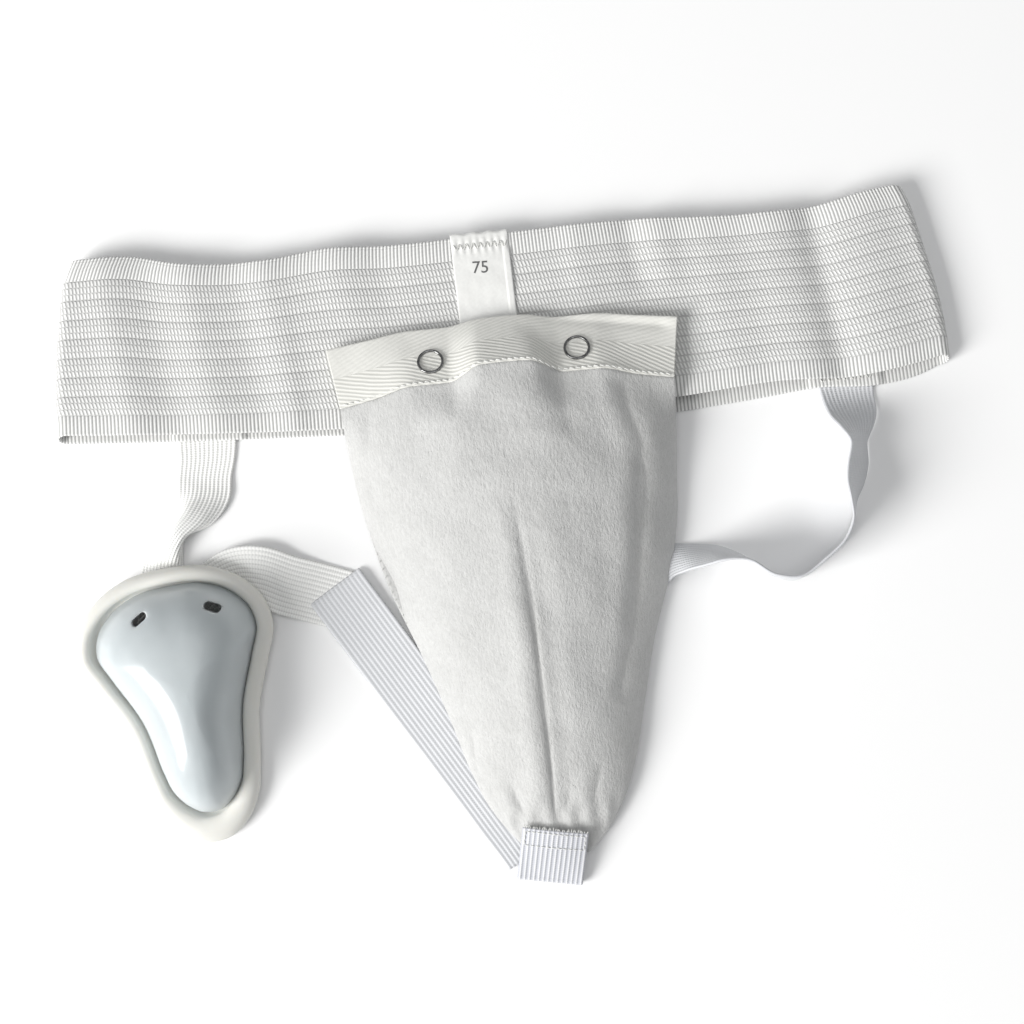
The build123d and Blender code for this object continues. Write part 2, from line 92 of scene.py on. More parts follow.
def unit(vectors):
    return vectors / np.maximum(np.linalg.norm(vectors, axis=-1, keepdims=True), 1e-9)


def run_along(points):
    """Length along a line of points up to each of them."""
    return np.concatenate([[0], np.cumsum(np.linalg.norm(np.diff(points, axis=0), axis=1))])


def put(name, data):
    """New object in the scene."""
    made = bpy.data.objects.new(name, data)
    bpy.context.scene.collection.objects.link(made)
    return made


def piece(name, points, faces, corner_uv, material):
    """Mesh object from points in millimetres, quads and their corners' flat positions."""
    mesh = bpy.data.meshes.new(name)
    mesh.from_pydata((np.asarray(points) * MM).tolist(), [], np.asarray(faces).tolist())
    layer = mesh.uv_layers.new(name=WEAVE)
    layer.data.foreach_set("uv", np.asarray(corner_uv, np.float32).ravel())
    mesh.polygons.foreach_set("use_smooth", np.ones(len(mesh.polygons), bool))
    mesh.materials.append(material)
    return put(name, mesh)


def tidy(made, merge=0.0005):
    """Merges coincident points and turns all faces outwards."""
    work = bmesh.new()
    work.from_mesh(made.data)
    bmesh.ops.remove_doubles(work, verts=work.verts, dist=merge * MM)
    bmesh.ops.dissolve_degenerate(work, edges=work.edges, dist=merge * MM)
    bmesh.ops.recalc_face_normals(work, faces=work.faces)
    work.to_mesh(made.data)
    work.free()
    return made


def placed(x, y, z, degrees):
    """Matrix that turns about the upright axis, then moves by millimetres."""
    return Matrix.Translation(Vector((x, y, z)) * MM) @ Matrix.Rotation(math.radians(degrees), 4, "Z")


def final_mesh(made):
    """The object's mesh as it is after its modifiers, or a curve's as a mesh."""
    bpy.context.view_layer.update()
    return bpy.data.meshes.new_from_object(made.evaluated_get(bpy.context.evaluated_depsgraph_get()))


def take_part(made, node, body):
    """The piece stands for a CAD node and rides on a body."""
    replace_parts(made, node)
    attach(made, body)
    return made


def stay_above_floor(made):
    """Keeps all of a piece's points clear of the table."""
    for vertex in made.data.vertices:
        vertex.co.z = max(vertex.co.z, FLOOR_GAP * MM)


def quads(row, next_row, column, next_column, columns):
    """Faces of a grid of points that are numbered row by row."""
    return np.stack([row * columns + column, next_row * columns + column,
                     next_row * columns + next_column, row * columns + next_column], 1)


def cloth(name, middle, flat, outer, inner, material, wrap=False):
    """Closed sheet: faces at the distances outer and inner from a middle surface, joined at the edges.
    middle is rows x columns x 3; flat is each point's place in the flat cloth, with one more row
    when the rows go right round and meet again."""
    rows, columns = middle.shape[:2]
    down = np.roll(middle, -1, 0) - np.roll(middle, 1, 0) if wrap else np.gradient(middle, axis=0)
    normal = unit(np.cross(down, np.gradient(middle, axis=1)))
    normal[np.linalg.norm(normal, axis=-1) < 0.5] = (0, 0, 1)      # where all rows meet in one point
    outer, inner = (np.broadcast_to(distance, (rows, columns))[..., None] for distance in (outer, inner))
    points = np.concatenate([middle + normal * outer, middle - normal * inner]).reshape(-1, 3)
    r, c = np.meshgrid(np.arange(rows if wrap else rows - 1), np.arange(columns - 1), indexing="ij")
    r, c = r.ravel(), c.ravel()
    r1 = (r + 1) % rows
    under = rows * columns
    top = quads(r, r1, c, c + 1, columns)
    top_uv = np.stack([flat[r, c], flat[r + 1, c], flat[r + 1, c + 1], flat[r, c + 1]], 1)
    faces, corner_uv = [top, top[:, ::-1] + under], [top_uv, top_uv[:, ::-1]]
    # the rims: start row and column, end row, the same row in the flat cloth, end column, winding
    k, m = np.arange(rows if wrap else rows - 1), np.arange(columns - 1)
    rims = [(k, column, (k + 1) % rows, k + 1, column, turn) for column, turn in ((0, -1), (columns - 1, 1))]
    if not wrap:
        rims += [(row, m, row, row, m + 1, turn) for row, turn in ((0, 1), (rows - 1, -1))]
    for row, column, end_row, flat_row, end_column, turn in rims:
        a, b = row * columns + column, end_row * columns + end_column
        here, there = flat[row, column], flat[flat_row, end_column]
        faces.append(np.stack([a, b, b + under, a + under], 1)[:, ::turn])
        corner_uv.append(np.stack([here, there, there, here], 1)[:, ::turn])
    return piece(name, points, np.concatenate(faces), np.concatenate(corner_uv), material)


def flat_grid(along, across):
    """Flat positions (along, across) for every row and column."""
    return np.stack(np.meshgrid(along, across, indexing="ij"), -1)


def soft_edge(across, width, half_thickness, round_over=0.8):
    """Half thickness across a sheet, rounded off towards both edges."""
    away = np.minimum(across, width - across)
    share = np.clip(away / round_over, 0, 1)
    return half_thickness * (0.25 + 0.75 * np.sqrt(1 - (1 - share) ** 2))


# ======== shader arithmetic ========
class Field:
    """A number that shader nodes work out over a surface, written as ordinary arithmetic."""

    def __init__(self, tree, socket):
        self.tree, self.socket = tree, socket

    def math(self, operation, *others):
        node = self.tree.nodes.new("ShaderNodeMath")
        node.operation = operation
        for slot, value in zip(node.inputs, (self,) + others):
            if isinstance(value, Field):
                self.tree.links.new(value.socket, slot)
            else:
                slot.default_value = value
        return Field(self.tree, node.outputs[0])

    __add__ = partialmethod(math, "ADD")
    __sub__ = partialmethod(math, "SUBTRACT")
    __mul__ = partialmethod(math, "MULTIPLY")
    fract = partialmethod(math, "FRACT")
    floor = partialmethod(math, "FLOOR")
    size = partialmethod(math, "ABSOLUTE")
    most = partialmethod(math, "MAXIMUM")
    above = partialmethod(math, "GREATER_THAN")

    def __rsub__(self, other):
        return (self * -1.0) + other

    def ridge(self, pitch):
        """Rounded ridges, 1 on each multiple of the pitch and 0 halfway."""
        return (self * (2 * math.pi / pitch)).math("COSINE") * 0.5 + 0.5

    def fade(self, low, high):
        """0 below low, 1 above high."""
        node = self.tree.nodes.new("ShaderNodeMapRange")
        node.interpolation_type = "SMOOTHSTEP"
        self.tree.links.new(self.socket, node.inputs["Value"])
        node.inputs["From Min"].default_value = low
        node.inputs["From Max"].default_value = high
        return Field(self.tree, node.outputs["Result"])


class Finish:
    """A material under construction: one Principled shader with patterns on its colour and bump."""

    def __init__(self, name, roughness, **sockets):
        self.material = bpy.data.materials.new(name)
        self.material.use_nodes = True
        self.tree = self.material.node_tree
        self.link = self.tree.links.new
        self.shader = self.tree.nodes["Principled BSDF"]
        self.shader.inputs["Roughness"].default_value = roughness
        for socket, value in sockets.items():
            self.shader.inputs[socket.replace("_", " ")].default_value = value
        self.normal = None

    def nodes(self, *kinds):
        """New nodes of the given kinds."""
        return [self.tree.nodes.new("ShaderNode" + kind) for kind in kinds]

    def weave(self):
        """Place in the flat cloth: millimetres along and across."""
        uv, split = self.nodes("UVMap", "SeparateXYZ")
        uv.uv_map = WEAVE
        self.link(uv.outputs["UV"], split.inputs[0])
        return Field(self.tree, split.outputs[0]), Field(self.tree, split.outputs[1])

    def noise(self, size, detail=2.0, stretch=(1, 1, 1), rough=0.5):
        """Noise with features of about the given size in millimetres."""
        place, scale, noise = self.nodes("TexCoord", "Mapping", "TexNoise")
        scale.inputs["Scale"].default_value = [s / (size * MM) for s in stretch]
        noise.inputs["Scale"].default_value = 1.0
        noise.inputs["Detail"].default_value = detail
        noise.inputs["Roughness"].default_value = rough
        self.link(place.outputs["Object"], scale.inputs["Vector"])
        self.link(scale.outputs["Vector"], noise.inputs["Vector"])
        return Field(self.tree, noise.outputs["Fac"])

    def colour(self, amount, light, dark):
        """Colour that goes from light at 0 to dark at 1."""
        mix, = self.nodes("Mix")
        mix.data_type = "RGBA"
        self.link(amount.socket, mix.inputs["Factor"])
        mix.inputs[6].default_value = (*light, 1)
        mix.inputs[7].default_value = (*dark, 1)
        self.link(mix.outputs[2], self.shader.inputs["Base Color"])

    def gloss(self, amount, low, high):
        """Roughness from low at 0 to high at 1."""
        self.link((amount * (high - low) + low).socket, self.shader.inputs["Roughness"])

    def bump(self, height, depth):
        """Relief: height from 0 to 1 stands for depth millimetres."""
        bump, = self.nodes("Bump")
        bump.inputs["Strength"].default_value = 1.0
        bump.inputs["Distance"].default_value = depth * MM
        self.link(height.socket, bump.inputs["Height"])
        if self.normal is not None:
            self.link(self.normal, bump.inputs["Normal"])
        self.normal = bump.outputs["Normal"]
        self.link(self.normal, self.shader.inputs["Normal"])


# ======== materials ========
RIB_PITCH = 1.56             # the band's upright ribs and knit strokes
BAND_FLAT = 75.0             # flat height of the waistband
RIB_LOW = 8.5                # ribbed zone at the band's lower edge
RIB_TOP = 9.3                # and at its upper edge
STRIPES = 7                  # knitted stripes between the ribbed zones
STRIPE = (BAND_FLAT - RIB_LOW - RIB_TOP) / STRIPES
LEG_PITCH = 2.0              # the leg elastic's lengthwise ribs
TAPE_W = 26.0


def band_finish():
    """Knitted waist elastic: upright ribs at both edges, slanted strokes in stripes between, with painted
    shade in the hollows between them.
    """
    made = Finish("band_elastic", 0.82, Sheen_Weight=0.25, Sheen_Roughness=0.5)
    along, across = made.weave()
    wobble = made.noise(9.0) - 0.5
    place = (across - RIB_LOW) * (1 / STRIPE)
    middle = place.above(0.0) * (place * -1.0).above(-float(STRIPES))
    row = place.fract() * 3.0
    in_row = row.fract()
    stroke = (along + in_row * 0.85 + row.floor() * 0.5 + wobble * 0.5).ridge(RIB_PITCH)
    ends = 1.0 - ((in_row - 0.5).size() * 2.0).math("POWER", 5.0)
    line = 1.0 - ((place + 0.5).fract() - 0.5).size().fade(0.02, 0.055)
    rib = (along + wobble * 0.12).ridge(RIB_PITCH)
    knit = stroke.fade(0.15, 0.75) * ends
    thread = (across + along * 0.2).ridge(0.55)
    # dark holds painted shade: the gaps between the knit strokes, the grooves between the ribs and the lines
    # between the stripes are coloured darker. The noise adds tone that differs at random.
    dark = (1.0 - knit) * middle * 0.55 + (1.0 - rib.fade(0.1, 0.7)) * (1.0 - middle) * 0.75
    dark = dark.most(line * middle * 0.5) + made.noise(34.0) * 0.16 + thread * 0.05 - 0.05
    made.colour(dark, (0.87, 0.87, 0.855), (0.31, 0.31, 0.305))
    made.bump(knit * middle + rib * (1.0 - middle) * 0.4 - line * 0.3, 0.28)
    made.bump(thread, 0.05)
    return made.material


def leg_finish(name, light, dark, cross, relief):
    """Narrow elastic: lengthwise ribs with fine threads across, with painted shade in the grooves between
    them.
    """
    made = Finish(name, 0.62, Sheen_Weight=0.3, Sheen_Roughness=0.4)
    along, across = made.weave()
    rib = across.ridge(LEG_PITCH)
    weft = (along + rib * 0.25).ridge(1.05)
    groove = 1.0 - rib.fade(0.0, 0.4)
    # painted shade: the colour darkens in the grooves between the ribs and, by cross, between the threads
    # across. The noise is random tone.
    made.colour(groove * 0.36 + (1.0 - weft.fade(0.1, 0.6)) * cross * 0.3 + made.noise(22.0) * 0.25 - 0.08,
                light, dark)
    made.bump(rib, relief)
    made.bump(weft, relief / 2)
    return made.material


def tab_finish():
    """Fold-over elastic of the tab: narrow bright rib crests, with painted shade darkening the grooves
    between them towards cool grey.
    """
    made = Finish("tab_elastic", 0.62, Sheen_Weight=0.3, Sheen_Roughness=0.4)
    along, across = made.weave()
    rib = across.ridge(LEG_PITCH)
    weft = (along + rib * 0.3).ridge(0.9)
    # painted shade: all but the narrow rib crests is coloured darker, and so are the gaps between the threads
    # across. The noise is random tone.
    made.colour(1.0 - rib.fade(0.6, 0.97) + (1.0 - weft) * 0.22 + made.noise(9.0) * 0.25 - 0.12,
                (0.80, 0.80, 0.81), (0.50, 0.51, 0.55))
    made.bump(rib, 0.13)
    made.bump(weft, 0.08)
    return made.material


def fleece_finish():
    """Brushed cotton fleece: short fuzz that lies along the pouch."""
    made = Finish("fleece", 0.95, Sheen_Weight=0.45, Sheen_Roughness=0.6)
    nap = made.noise(1.1, 4.0, (1.0, 0.42, 1.0), 0.65)
    pile = made.noise(0.45, 3.0, (1.0, 0.55, 1.0), 0.6)
    cloud = made.noise(16.0, 3.0)
    made.colour((nap - 0.5) * 0.9 + (pile - 0.5) * 0.6 + (cloud - 0.5) * 0.5 + 0.4,
                (0.61, 0.61, 0.60), (0.41, 0.41, 0.40))
    made.bump(nap, 0.42)
    made.bump(pile, 0.16)
    made.bump(cloud, 1.2)
    return made.material


def tape_finish():
    """Cotton herringbone twill tape: two rows of slanted ribs, with painted shade in the grooves between
    them.
    """
    made = Finish("twill_tape", 0.85, Sheen_Weight=0.2)
    along, across = made.weave()
    lower = across.above(TAPE_W / 2)
    slant = across + along * 0.34 - lower * (along * 0.68)
    twill = (slant + made.noise(6.0) * 0.5).ridge(1.75)
    thread = (along + across * 0.3).ridge(0.5)
    spine = 1.0 - (across - TAPE_W / 2).size().fade(0.0, 0.5)
    # painted shade: the grooves between the twill ribs are coloured darker, more in the lower row than in the
    # upper. spine darkens the line where the two rows meet.
    groove = (1.0 - twill.fade(0.1, 0.8)) * (lower * 0.26 + 0.14) + spine * 0.06
    made.colour(groove + made.noise(12.0) * 0.35 - 0.1, (0.79, 0.785, 0.745), (0.50, 0.50, 0.46))
    made.bump(twill * (lower * 0.5 + 0.5), 0.16)
    made.bump(thread, 0.06)
    return made.material


def satin_finish():
    """Woven satin label ribbon."""
    made = Finish("label_satin", 0.42, Sheen_Weight=0.3, Specular_IOR_Level=0.6)
    along, across = made.weave()
    weft = along.ridge(0.32)
    made.colour(made.noise(7.0) * 0.5 + weft * 0.15, (0.83, 0.83, 0.81), (0.68, 0.68, 0.66))
    made.bump(weft, 0.02)
    made.bump((across + along * 0.1).ridge(0.5), 0.015)
    made.bump(made.noise(6.0), 0.35)
    return made.material


def thread_finish():
    """Polyester sewing thread with its twist, with painted shade between the plies."""
    made = Finish("thread", 0.6, Sheen_Weight=0.3)
    along, across = made.weave()
    ply = (along + across * 0.5).ridge(0.5)
    # painted shade: the colour darkens in the hollows between the plies. The noise is random tone.
    made.colour((1.0 - ply) * 0.5 + made.noise(3.0) * 0.3, (0.84, 0.84, 0.815), (0.66, 0.66, 0.635))
    made.bump(ply, 0.08)
    return made.material


def metal_finish():
    """Nickel-plated snap metal with fine wear."""
    made = Finish("snap_metal", 0.2, Metallic=1.0)
    made.colour(made.noise(1.6, 3.0).fade(0.35, 0.8), (0.30, 0.30, 0.30), (0.10, 0.10, 0.10))
    made.gloss(made.noise(0.8, 3.0), 0.12, 0.34)
    made.bump(made.noise(0.5), 0.015)
    return made.material


def plastic_finish():
    """Glossy translucent polymer of the cup."""
    made = Finish("cup_plastic", 0.34, Subsurface_Weight=0.9, Coat_Weight=0.35, Coat_Roughness=0.08,
                  Specular_IOR_Level=0.25, IOR=1.45, Subsurface_Radius=(1.0, 1.0, 1.0),
                  Subsurface_Scale=8.0 * MM)
    made.colour(made.noise(30.0, 2.0).fade(0.3, 0.75), (0.53, 0.575, 0.59), (0.49, 0.53, 0.545))
    made.gloss(made.noise(2.5, 4.0), 0.3, 0.4)
    made.bump(made.noise(14.0), 0.03)
    return made.material


def rubber_finish():
    """Soft off-white rubber of the cup's rim."""
    made = Finish("rim_rubber", 0.5, Subsurface_Weight=0.25, Subsurface_Radius=(1.0, 0.9, 0.7),
                  Subsurface_Scale=2.0 * MM)
    made.colour(made.noise(18.0, 3.0) * 0.7 + made.noise(1.2) * 0.3,
                (0.77, 0.765, 0.725), (0.70, 0.695, 0.655))
    made.gloss(made.noise(1.5, 3.0), 0.36, 0.55)
    made.bump(made.noise(0.7, 3.0), 0.03)
    return made.material


def ink_finish():
    """Grey print on the label."""
    made = Finish("label_ink", 0.7)
    made.colour(made.noise(0.6, 3.0), (0.07, 0.07, 0.07), (0.16, 0.16, 0.16))
    made.bump(made.noise(0.4), 0.01)
    return made.material


BAND = band_finish()
LEG = leg_finish("leg_elastic", (0.93, 0.93, 0.91), (0.50, 0.50, 0.49), 0.7, 0.15)
SMOOTH_LEG = leg_finish("leg_elastic_smooth", (0.69, 0.70, 0.72), (0.45, 0.455, 0.475), 0.15, 0.1)
TAB = tab_finish()
FLEECE = fleece_finish()
TWILL = tape_finish()
SATIN = satin_finish()
THREAD = thread_finish()
METAL = metal_finish()
PLASTIC = plastic_finish()
RUBBER = rubber_finish()
INK = ink_finish()


# ======== waistband ========
BAND_T = 1.4
BAND_Z = 4.7                 # height of the fold's middle
FOLD_R = 4.0                 # from there to the middle of either layer
BAND_REACH = 183.2           # half length of the flat layers between the folds
RIB_DEPTH = 0.34
LINE_DEPTH = 0.14            # of the lines between the knitted stripes
# (y, half width) of the folds and (x, y) of both layers' edges
LEFT_END = ((54, 191.6), (74, 190.6), (92, 189.2), (117, 185.4), (136, 180.8), (143, 177.0))
RIGHT_END = ((54, 190.2), (92, 187.2), (117, 182.0), (136, 177.2), (143, 174.0))
NEAR_LOW = ((-190, 69.2), (-137, 64.7), (-70, 60.4), (0, 58.6), (74, 60.4), (112, 62.8), (150, 61.9),
            (172, 64.8), (190, 68.5))
NEAR_TOP = ((-185, 142.0), (-160, 141.2), (-137, 136.3), (-100, 134.3), (-72, 136.7), (-45, 135.5),
            (0, 136.1), (60, 136.8), (115, 134.2), (146, 135.0), (172, 139.2), (185, 140.6))
FAR_LOW = ((-190, 66.0), (-137, 62.0), (-70, 58.1), (0, 54.8), (72, 54.4), (107, 56.8), (132, 58.8),
           (157, 57.6), (174, 60.0), (190, 66.3))
FAR_TOP = ((-185, 141.4), (-150, 136.0), (-100, 132.5), (0, 131.4), (100, 132.0), (150, 134.0), (185, 140.0))
STRAP_X = (-127.0, 145.0)    # where the leg elastics are sewn behind the band
NEAR_WAVES = ((-161, 1.0, 8), (-143, -0.7, 8), (-126, 1.1, 9), (-106, -0.6, 8), (-93, 0.9, 8),
              (95, 0.8, 12), (122, 1.5, 13), (139, -1.7, 7), (160, 1.3, 13),
              (-62, 0.8, 9), (-44, -0.5, 7), (38, 0.7, 9), (62, -1.1, 6), (74, 0.9, 7))   # (x, height, width)


def near_lift(x, y):
    """Soft upright folds of the near layer, at full height over the leg elastics and flat by the header."""
    lean = x + (y - 100) * 0.12
    lift = sum(height * bell(lean, middle, width) for middle, height, width in NEAR_WAVES)
    return lift * np.maximum(ease(78, 90, abs(x)), ease(24, 36, abs(x)) * ease(103, 113, y))


def far_lift(x, y):
    """The far layer stands off the table over the sewn ends of the leg elastics."""
    over = sum(ease(-17, -13.6, x - at) * ease(-17, -13.6, at - x) for at in STRAP_X)
    return 0.28 + 1.05 * over * ease(-79, -74, -y)


def make_waistband():
    straight, bend = 2 * BAND_REACH, math.pi * FOLD_R
    around = 2 * (straight + bend)
    ribs = round(around / RIB_PITCH)
    along = np.arange(3 * ribs) * (around / (3 * ribs))
    lines = [RIB_LOW + STRIPE * k for k in range(STRIPES + 1)]
    across = [0, 0.35, 0.9, 4.3] + [line + d for line in lines for d in (-0.35, 0, 0.35)]
    across = np.array(across + [BAND_FLAT - 4.6, BAND_FLAT - 0.9, BAND_FLAT - 0.35, BAND_FLAT])
    share = across / BAND_FLAT

    # round the loop: near layer, right fold, far layer, left fold
    marks = (0, straight, straight + bend, 2 * straight + bend, around)
    turn = np.interp(along, marks, (0, 0, math.pi, math.pi, 2 * math.pi))
    s = np.interp(along, marks, (-1, 1, 1, -1, -1))
    depth = (1 - np.cos(turn)) / 2               # 0 on the near layer, 1 on the far one
    low, top = (through(near_edge, s * BAND_REACH) * (1 - depth) + through(far_edge, s * BAND_REACH) * depth
                for near_edge, far_edge in ((NEAR_LOW, FAR_LOW), (NEAR_TOP, FAR_TOP)))
    y = low[:, None] + (top - low)[:, None] * share
    half = np.where(s[:, None] < 0, through(LEFT_END, y), through(RIGHT_END, y))
    x = s[:, None] * (half - BAND_Z) + (FOLD_R * np.sin(turn))[:, None]
    z = BAND_Z + FOLD_R * np.cos(turn)[:, None]
    z = z + near_lift(x, y) * (1 - depth)[:, None] ** 4 + far_lift(x, y) * depth[:, None] ** 4
    middle = np.stack(np.broadcast_arrays(x, y, z), -1)

    edge = soft_edge(across, BAND_FLAT, BAND_T / 2)
    in_rib = np.maximum(1 - ease(RIB_LOW - 0.8, RIB_LOW - 0.3, across), ease(0.3, 0.8, across - lines[-1]))
    groove = sum(np.maximum(0, 1 - abs(across - line) / 0.34) for line in lines)
    rib = (1 - np.cos(2 * math.pi * along / (around / ribs))) / 2
    outer = edge - RIB_DEPTH * rib[:, None] * in_rib * (edge / edge.max()) - LINE_DEPTH * groove
    flat = flat_grid(np.append(along, around) * (RIB_PITCH * ribs / around), across)
    made = cloth("waistband", middle, flat, outer, edge, BAND, wrap=True)
    take_part(tidy(made), "waistband", "garment")


make_waistband()


# ======== threads ========
def thread_piece(name, paths, radius, body):
    """One mesh of separate threads, which stands for the node of its name. Each thread is a six-sided tube
    with rounded ends through a few points."""
    sides = 6
    points, faces, corner_uv = [], [], []
    ends = np.array([0.35, 0.85, 1, 1, 0.85, 0.35])
    share = np.array([0, 0.1, 0.3, 0.7, 0.9, 1.0])
    angle = np.arange(sides) * 2 * math.pi / sides
    for path in paths:
        path = np.asarray(path, float)
        knots = run_along(path)
        line = np.stack([smooth(knots, path[:, k], share * knots[-1], True) for k in range(3)], 1)
        ahead = unit(np.gradient(line, axis=0))
        side = unit(np.cross(ahead, [0.05, 0.1, 1.0]))
        up = np.cross(side, ahead)
        first = len(points)
        for k in range(len(line)):
            spokes = np.cos(angle)[:, None] * side[k] + np.sin(angle)[:, None] * up[k]
            points.extend(line[k] + radius * ends[k] * spokes)
        for k in range(len(line) - 1):
            for m in range(sides):
                n = (m + 1) % sides
                faces.append([first + k * sides + m, first + k * sides + n,
                              first + (k + 1) * sides + n, first + (k + 1) * sides + m])
                here, there = share[k] * knots[-1], share[k + 1] * knots[-1]
                a, b = m / sides, (m + 1) / sides
                corner_uv.append([(here, a), (here, b), (there, b), (there, a)])
        for k, turn in ((0, -1), (len(line) - 1, 1)):
            cap = [first + k * sides + m for m in range(sides)][::turn]
            faces += [cap[:4], [cap[0]] + cap[3:]]
            corner_uv.extend([[(share[k] * knots[-1], 0)] * 4] * 2)
    return take_part(tidy(piece(name, points, faces, corner_uv, THREAD)), name, body)


def stitch_arc(start, end, up, rise):
    """A stitch between two holes, bowed up off the cloth and dipping in at both ends."""
    start, end, up = (np.asarray(p, float) for p in (start, end, up))
    return [start - up * 0.15, start + (end - start) * 0.2 + up * rise * 0.8, (start + end) / 2 + up * rise,
            end + (start - end) * 0.2 + up * rise * 0.8, end - up * 0.15]


def zigzag(start, width, count, y, swing, z, rise, gap):
    """A row of stitches along x that cross the line y up and down in turn; gap is a share of a stitch."""
    row, step = [], width / count
    for k in range(count):
        swing = -swing
        a, b = start + step * (k + gap), start + step * (k + 1 - gap)
        row.append(stitch_arc((a, y - swing, z), (b, y + swing, z), (0, 0, 1), rise))
    return row


# ======== size label ========
LABEL_X = -16.8              # its left edge
LABEL_W = 24.4
LABEL_T = 0.4
LABEL_TOP = 136.6            # middle of the ribbon at its fold
LABEL_STITCH_Y = 131.6
# (y, z) along the ribbon, from its curled lower end over the band's upper edge to its end behind
LABEL_PATH = ((96.5, 11.35), (99.3, 11.3), (101.6, 10.3), (104.5, 9.75), (115, 9.9), (127, 9.75),
              (LABEL_STITCH_Y, 9.68), (135.2, 9.7), (LABEL_TOP, 9.5), (LABEL_TOP + 0.75, 8.7),
              (LABEL_TOP, 7.85), (133, 7.75), (124, 7.75))
DIGIT_SIZE = 7.2
DIGIT_RELIEF = 0.05
DIGITS_AT = (-5.2, 122.2, 10.32)
DIGITS_TURN = -2.0


def label_surface(x, run):
    """Middle of the ribbon at x and at a run along it from its lower end."""
    path = np.array(LABEL_PATH)
    knots = run_along(path)
    y = smooth(knots, path[:, 0], run)
    z = smooth(knots, path[:, 1], run, True)
    middle = (x - LABEL_X) / LABEL_W - 0.5
    front = z > 9.2
    gather = 0.22 * np.cos(2 * math.pi * x / 3.05) * bell(y, LABEL_STITCH_Y, 3.0)
    pillow = (0.25 - middle ** 2) * (0.9 * bell(y, 117, 10) + 0.55 * bell(y, 126, 4))
    hem = 0.32 * ease(4.7, 5.1, x) * (1 - ease(129, 131, y))
    lean = x + (136 - y) * 0.02
    wavy = y + 0.25 * np.cos(x * 0.9) * (y > 135)
    return np.stack([lean, wavy, z + (gather + pillow + hem) * front], -1)


def make_label():
    length = run_along(np.array(LABEL_PATH))[-1]
    run = np.linspace(0, length, 150)
    across = np.linspace(0, LABEL_W, 60)
    middle = label_surface(LABEL_X + across + 0 * run[:, None], run[:, None] + 0 * across)
    half = soft_edge(across, LABEL_W, LABEL_T / 2, 0.4)
    made = tidy(cloth("size_label", middle, flat_grid(run, across), half, half, SATIN))
    take_part(made, "size_label", "garment")
    row = zigzag(LABEL_X + 0.9, LABEL_W - 1.6, 16, LABEL_STITCH_Y, 1.3, 10.1, 0.2, 0.08)
    stitches = thread_piece("label_stitches", row, 0.2, "garment")


def make_label_digits():
    """The size in centimetres, in plain upright figures."""
    curve = bpy.data.curves.new("label_digits", "FONT")
    curve.body = "75"
    curve.size = DIGIT_SIZE * MM
    curve.align_x = curve.align_y = "CENTER"
    curve.extrude = DIGIT_RELIEF * MM
    curve.resolution_u = 6
    made = put("label_digits_curve", curve)
    mesh = final_mesh(made)
    mesh.transform(placed(*DIGITS_AT, DIGITS_TURN))
    bpy.data.objects.remove(made)
    digits = put("label_digits", mesh)
    mesh.materials.clear()
    mesh.materials.append(INK)
    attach(digits, "garment")


make_label()
make_label_digits()


# ======== header tapes ========
POUCH_X = 1.0
TAPE_T = 1.1
BACK_Z = 9.4                 # undersides of the tapes at their upper edges
FRONT_Z = 12.9
SNAP_X, SNAP_Y = 30.5, 82.5  # a snap's place, from the pouch's middle line
# (offset from the pouch middle, upper edge y, front slope, back slope in degrees)
HEADER = ((0, 100.8, 38, 23), (10, 100.4, 38, 23), (24, 98.2, 23, 23), (38, 98.2, 23, 23), (55, 96.0, 13, 10),
          (74.5, 93.4, 4, 4))


def header_at(x, front):
    """Upper edge y, lower edge y and rise of a tape at x."""
    offset = abs(np.asarray(x, float) - POUCH_X)
    knots, tops, *slopes = zip(*HEADER)
    top = smooth(knots, tops, offset)
    slope = np.radians(smooth(knots, slopes[0 if front else 1], offset))
    return top, top - TAPE_W * np.cos(slope), TAPE_W * np.sin(slope)


def tape_point(x, share, front):
    """Point on a tape's outer face."""
    top, low, rise = header_at(x, front)
    base = FRONT_Z if front else BACK_Z
    return np.stack(np.broadcast_arrays(x, top + (low - top) * share, base + TAPE_T + rise * share), -1)


def along_share(along):
    """How far each place along a tape draws in towards its lower edge: 4 mm at both ends."""
    return (4.0 * np.clip((along - POUCH_X) / 74, -1, 1) ** 3)[:, None]


def make_tape(name, front):
    along = np.linspace(-73.0, 75.0, 240)
    across = np.array([0, 0.3, 0.8, *np.linspace(1.6, TAPE_W - 1.6, 34), TAPE_W - 0.8, TAPE_W - 0.3, TAPE_W])
    share = across / TAPE_W
    taper = share * along_share(along)
    face = tape_point(along[:, None] - taper, share + 0 * along[:, None], front)
    x, y = face[..., 0], face[..., 1]
    if front:
        # the creases keep clear of both snaps
        away = math.prod(ease(6.5, 11, np.hypot(x - POUCH_X - at, y - SNAP_Y)) for at in (SNAP_X, -SNAP_X))
        lean = 0.13 * (x - 20)
        crease = (0.8 * bell(y, 100.2 - lean, 3.0) * ease(22, 40, x)
                  - 0.9 * bell(y, 97.2 - lean, 2.4) * ease(16, 34, x) * ease(-74, -66, -x)
                  - 1.3 * bell(x, 13 + (95 - y) * 0.35, 5.0) * ease(-100, -92, -y) - 0.5 * bell(x, 46, 7)
                  + 0.5 * bell(x, -52, 9) - 0.5 * bell(x, -38, 6) * bell(y, 92, 7))
        face[..., 2] += crease * away
    face[..., 2] -= TAPE_T / 2
    half = soft_edge(across, TAPE_W, TAPE_T / 2 * 0.9, 0.7)
    made = tidy(cloth(name, face, flat_grid(along, across), half, half, TWILL))
    return take_part(made, name, "header" if front else "garment")


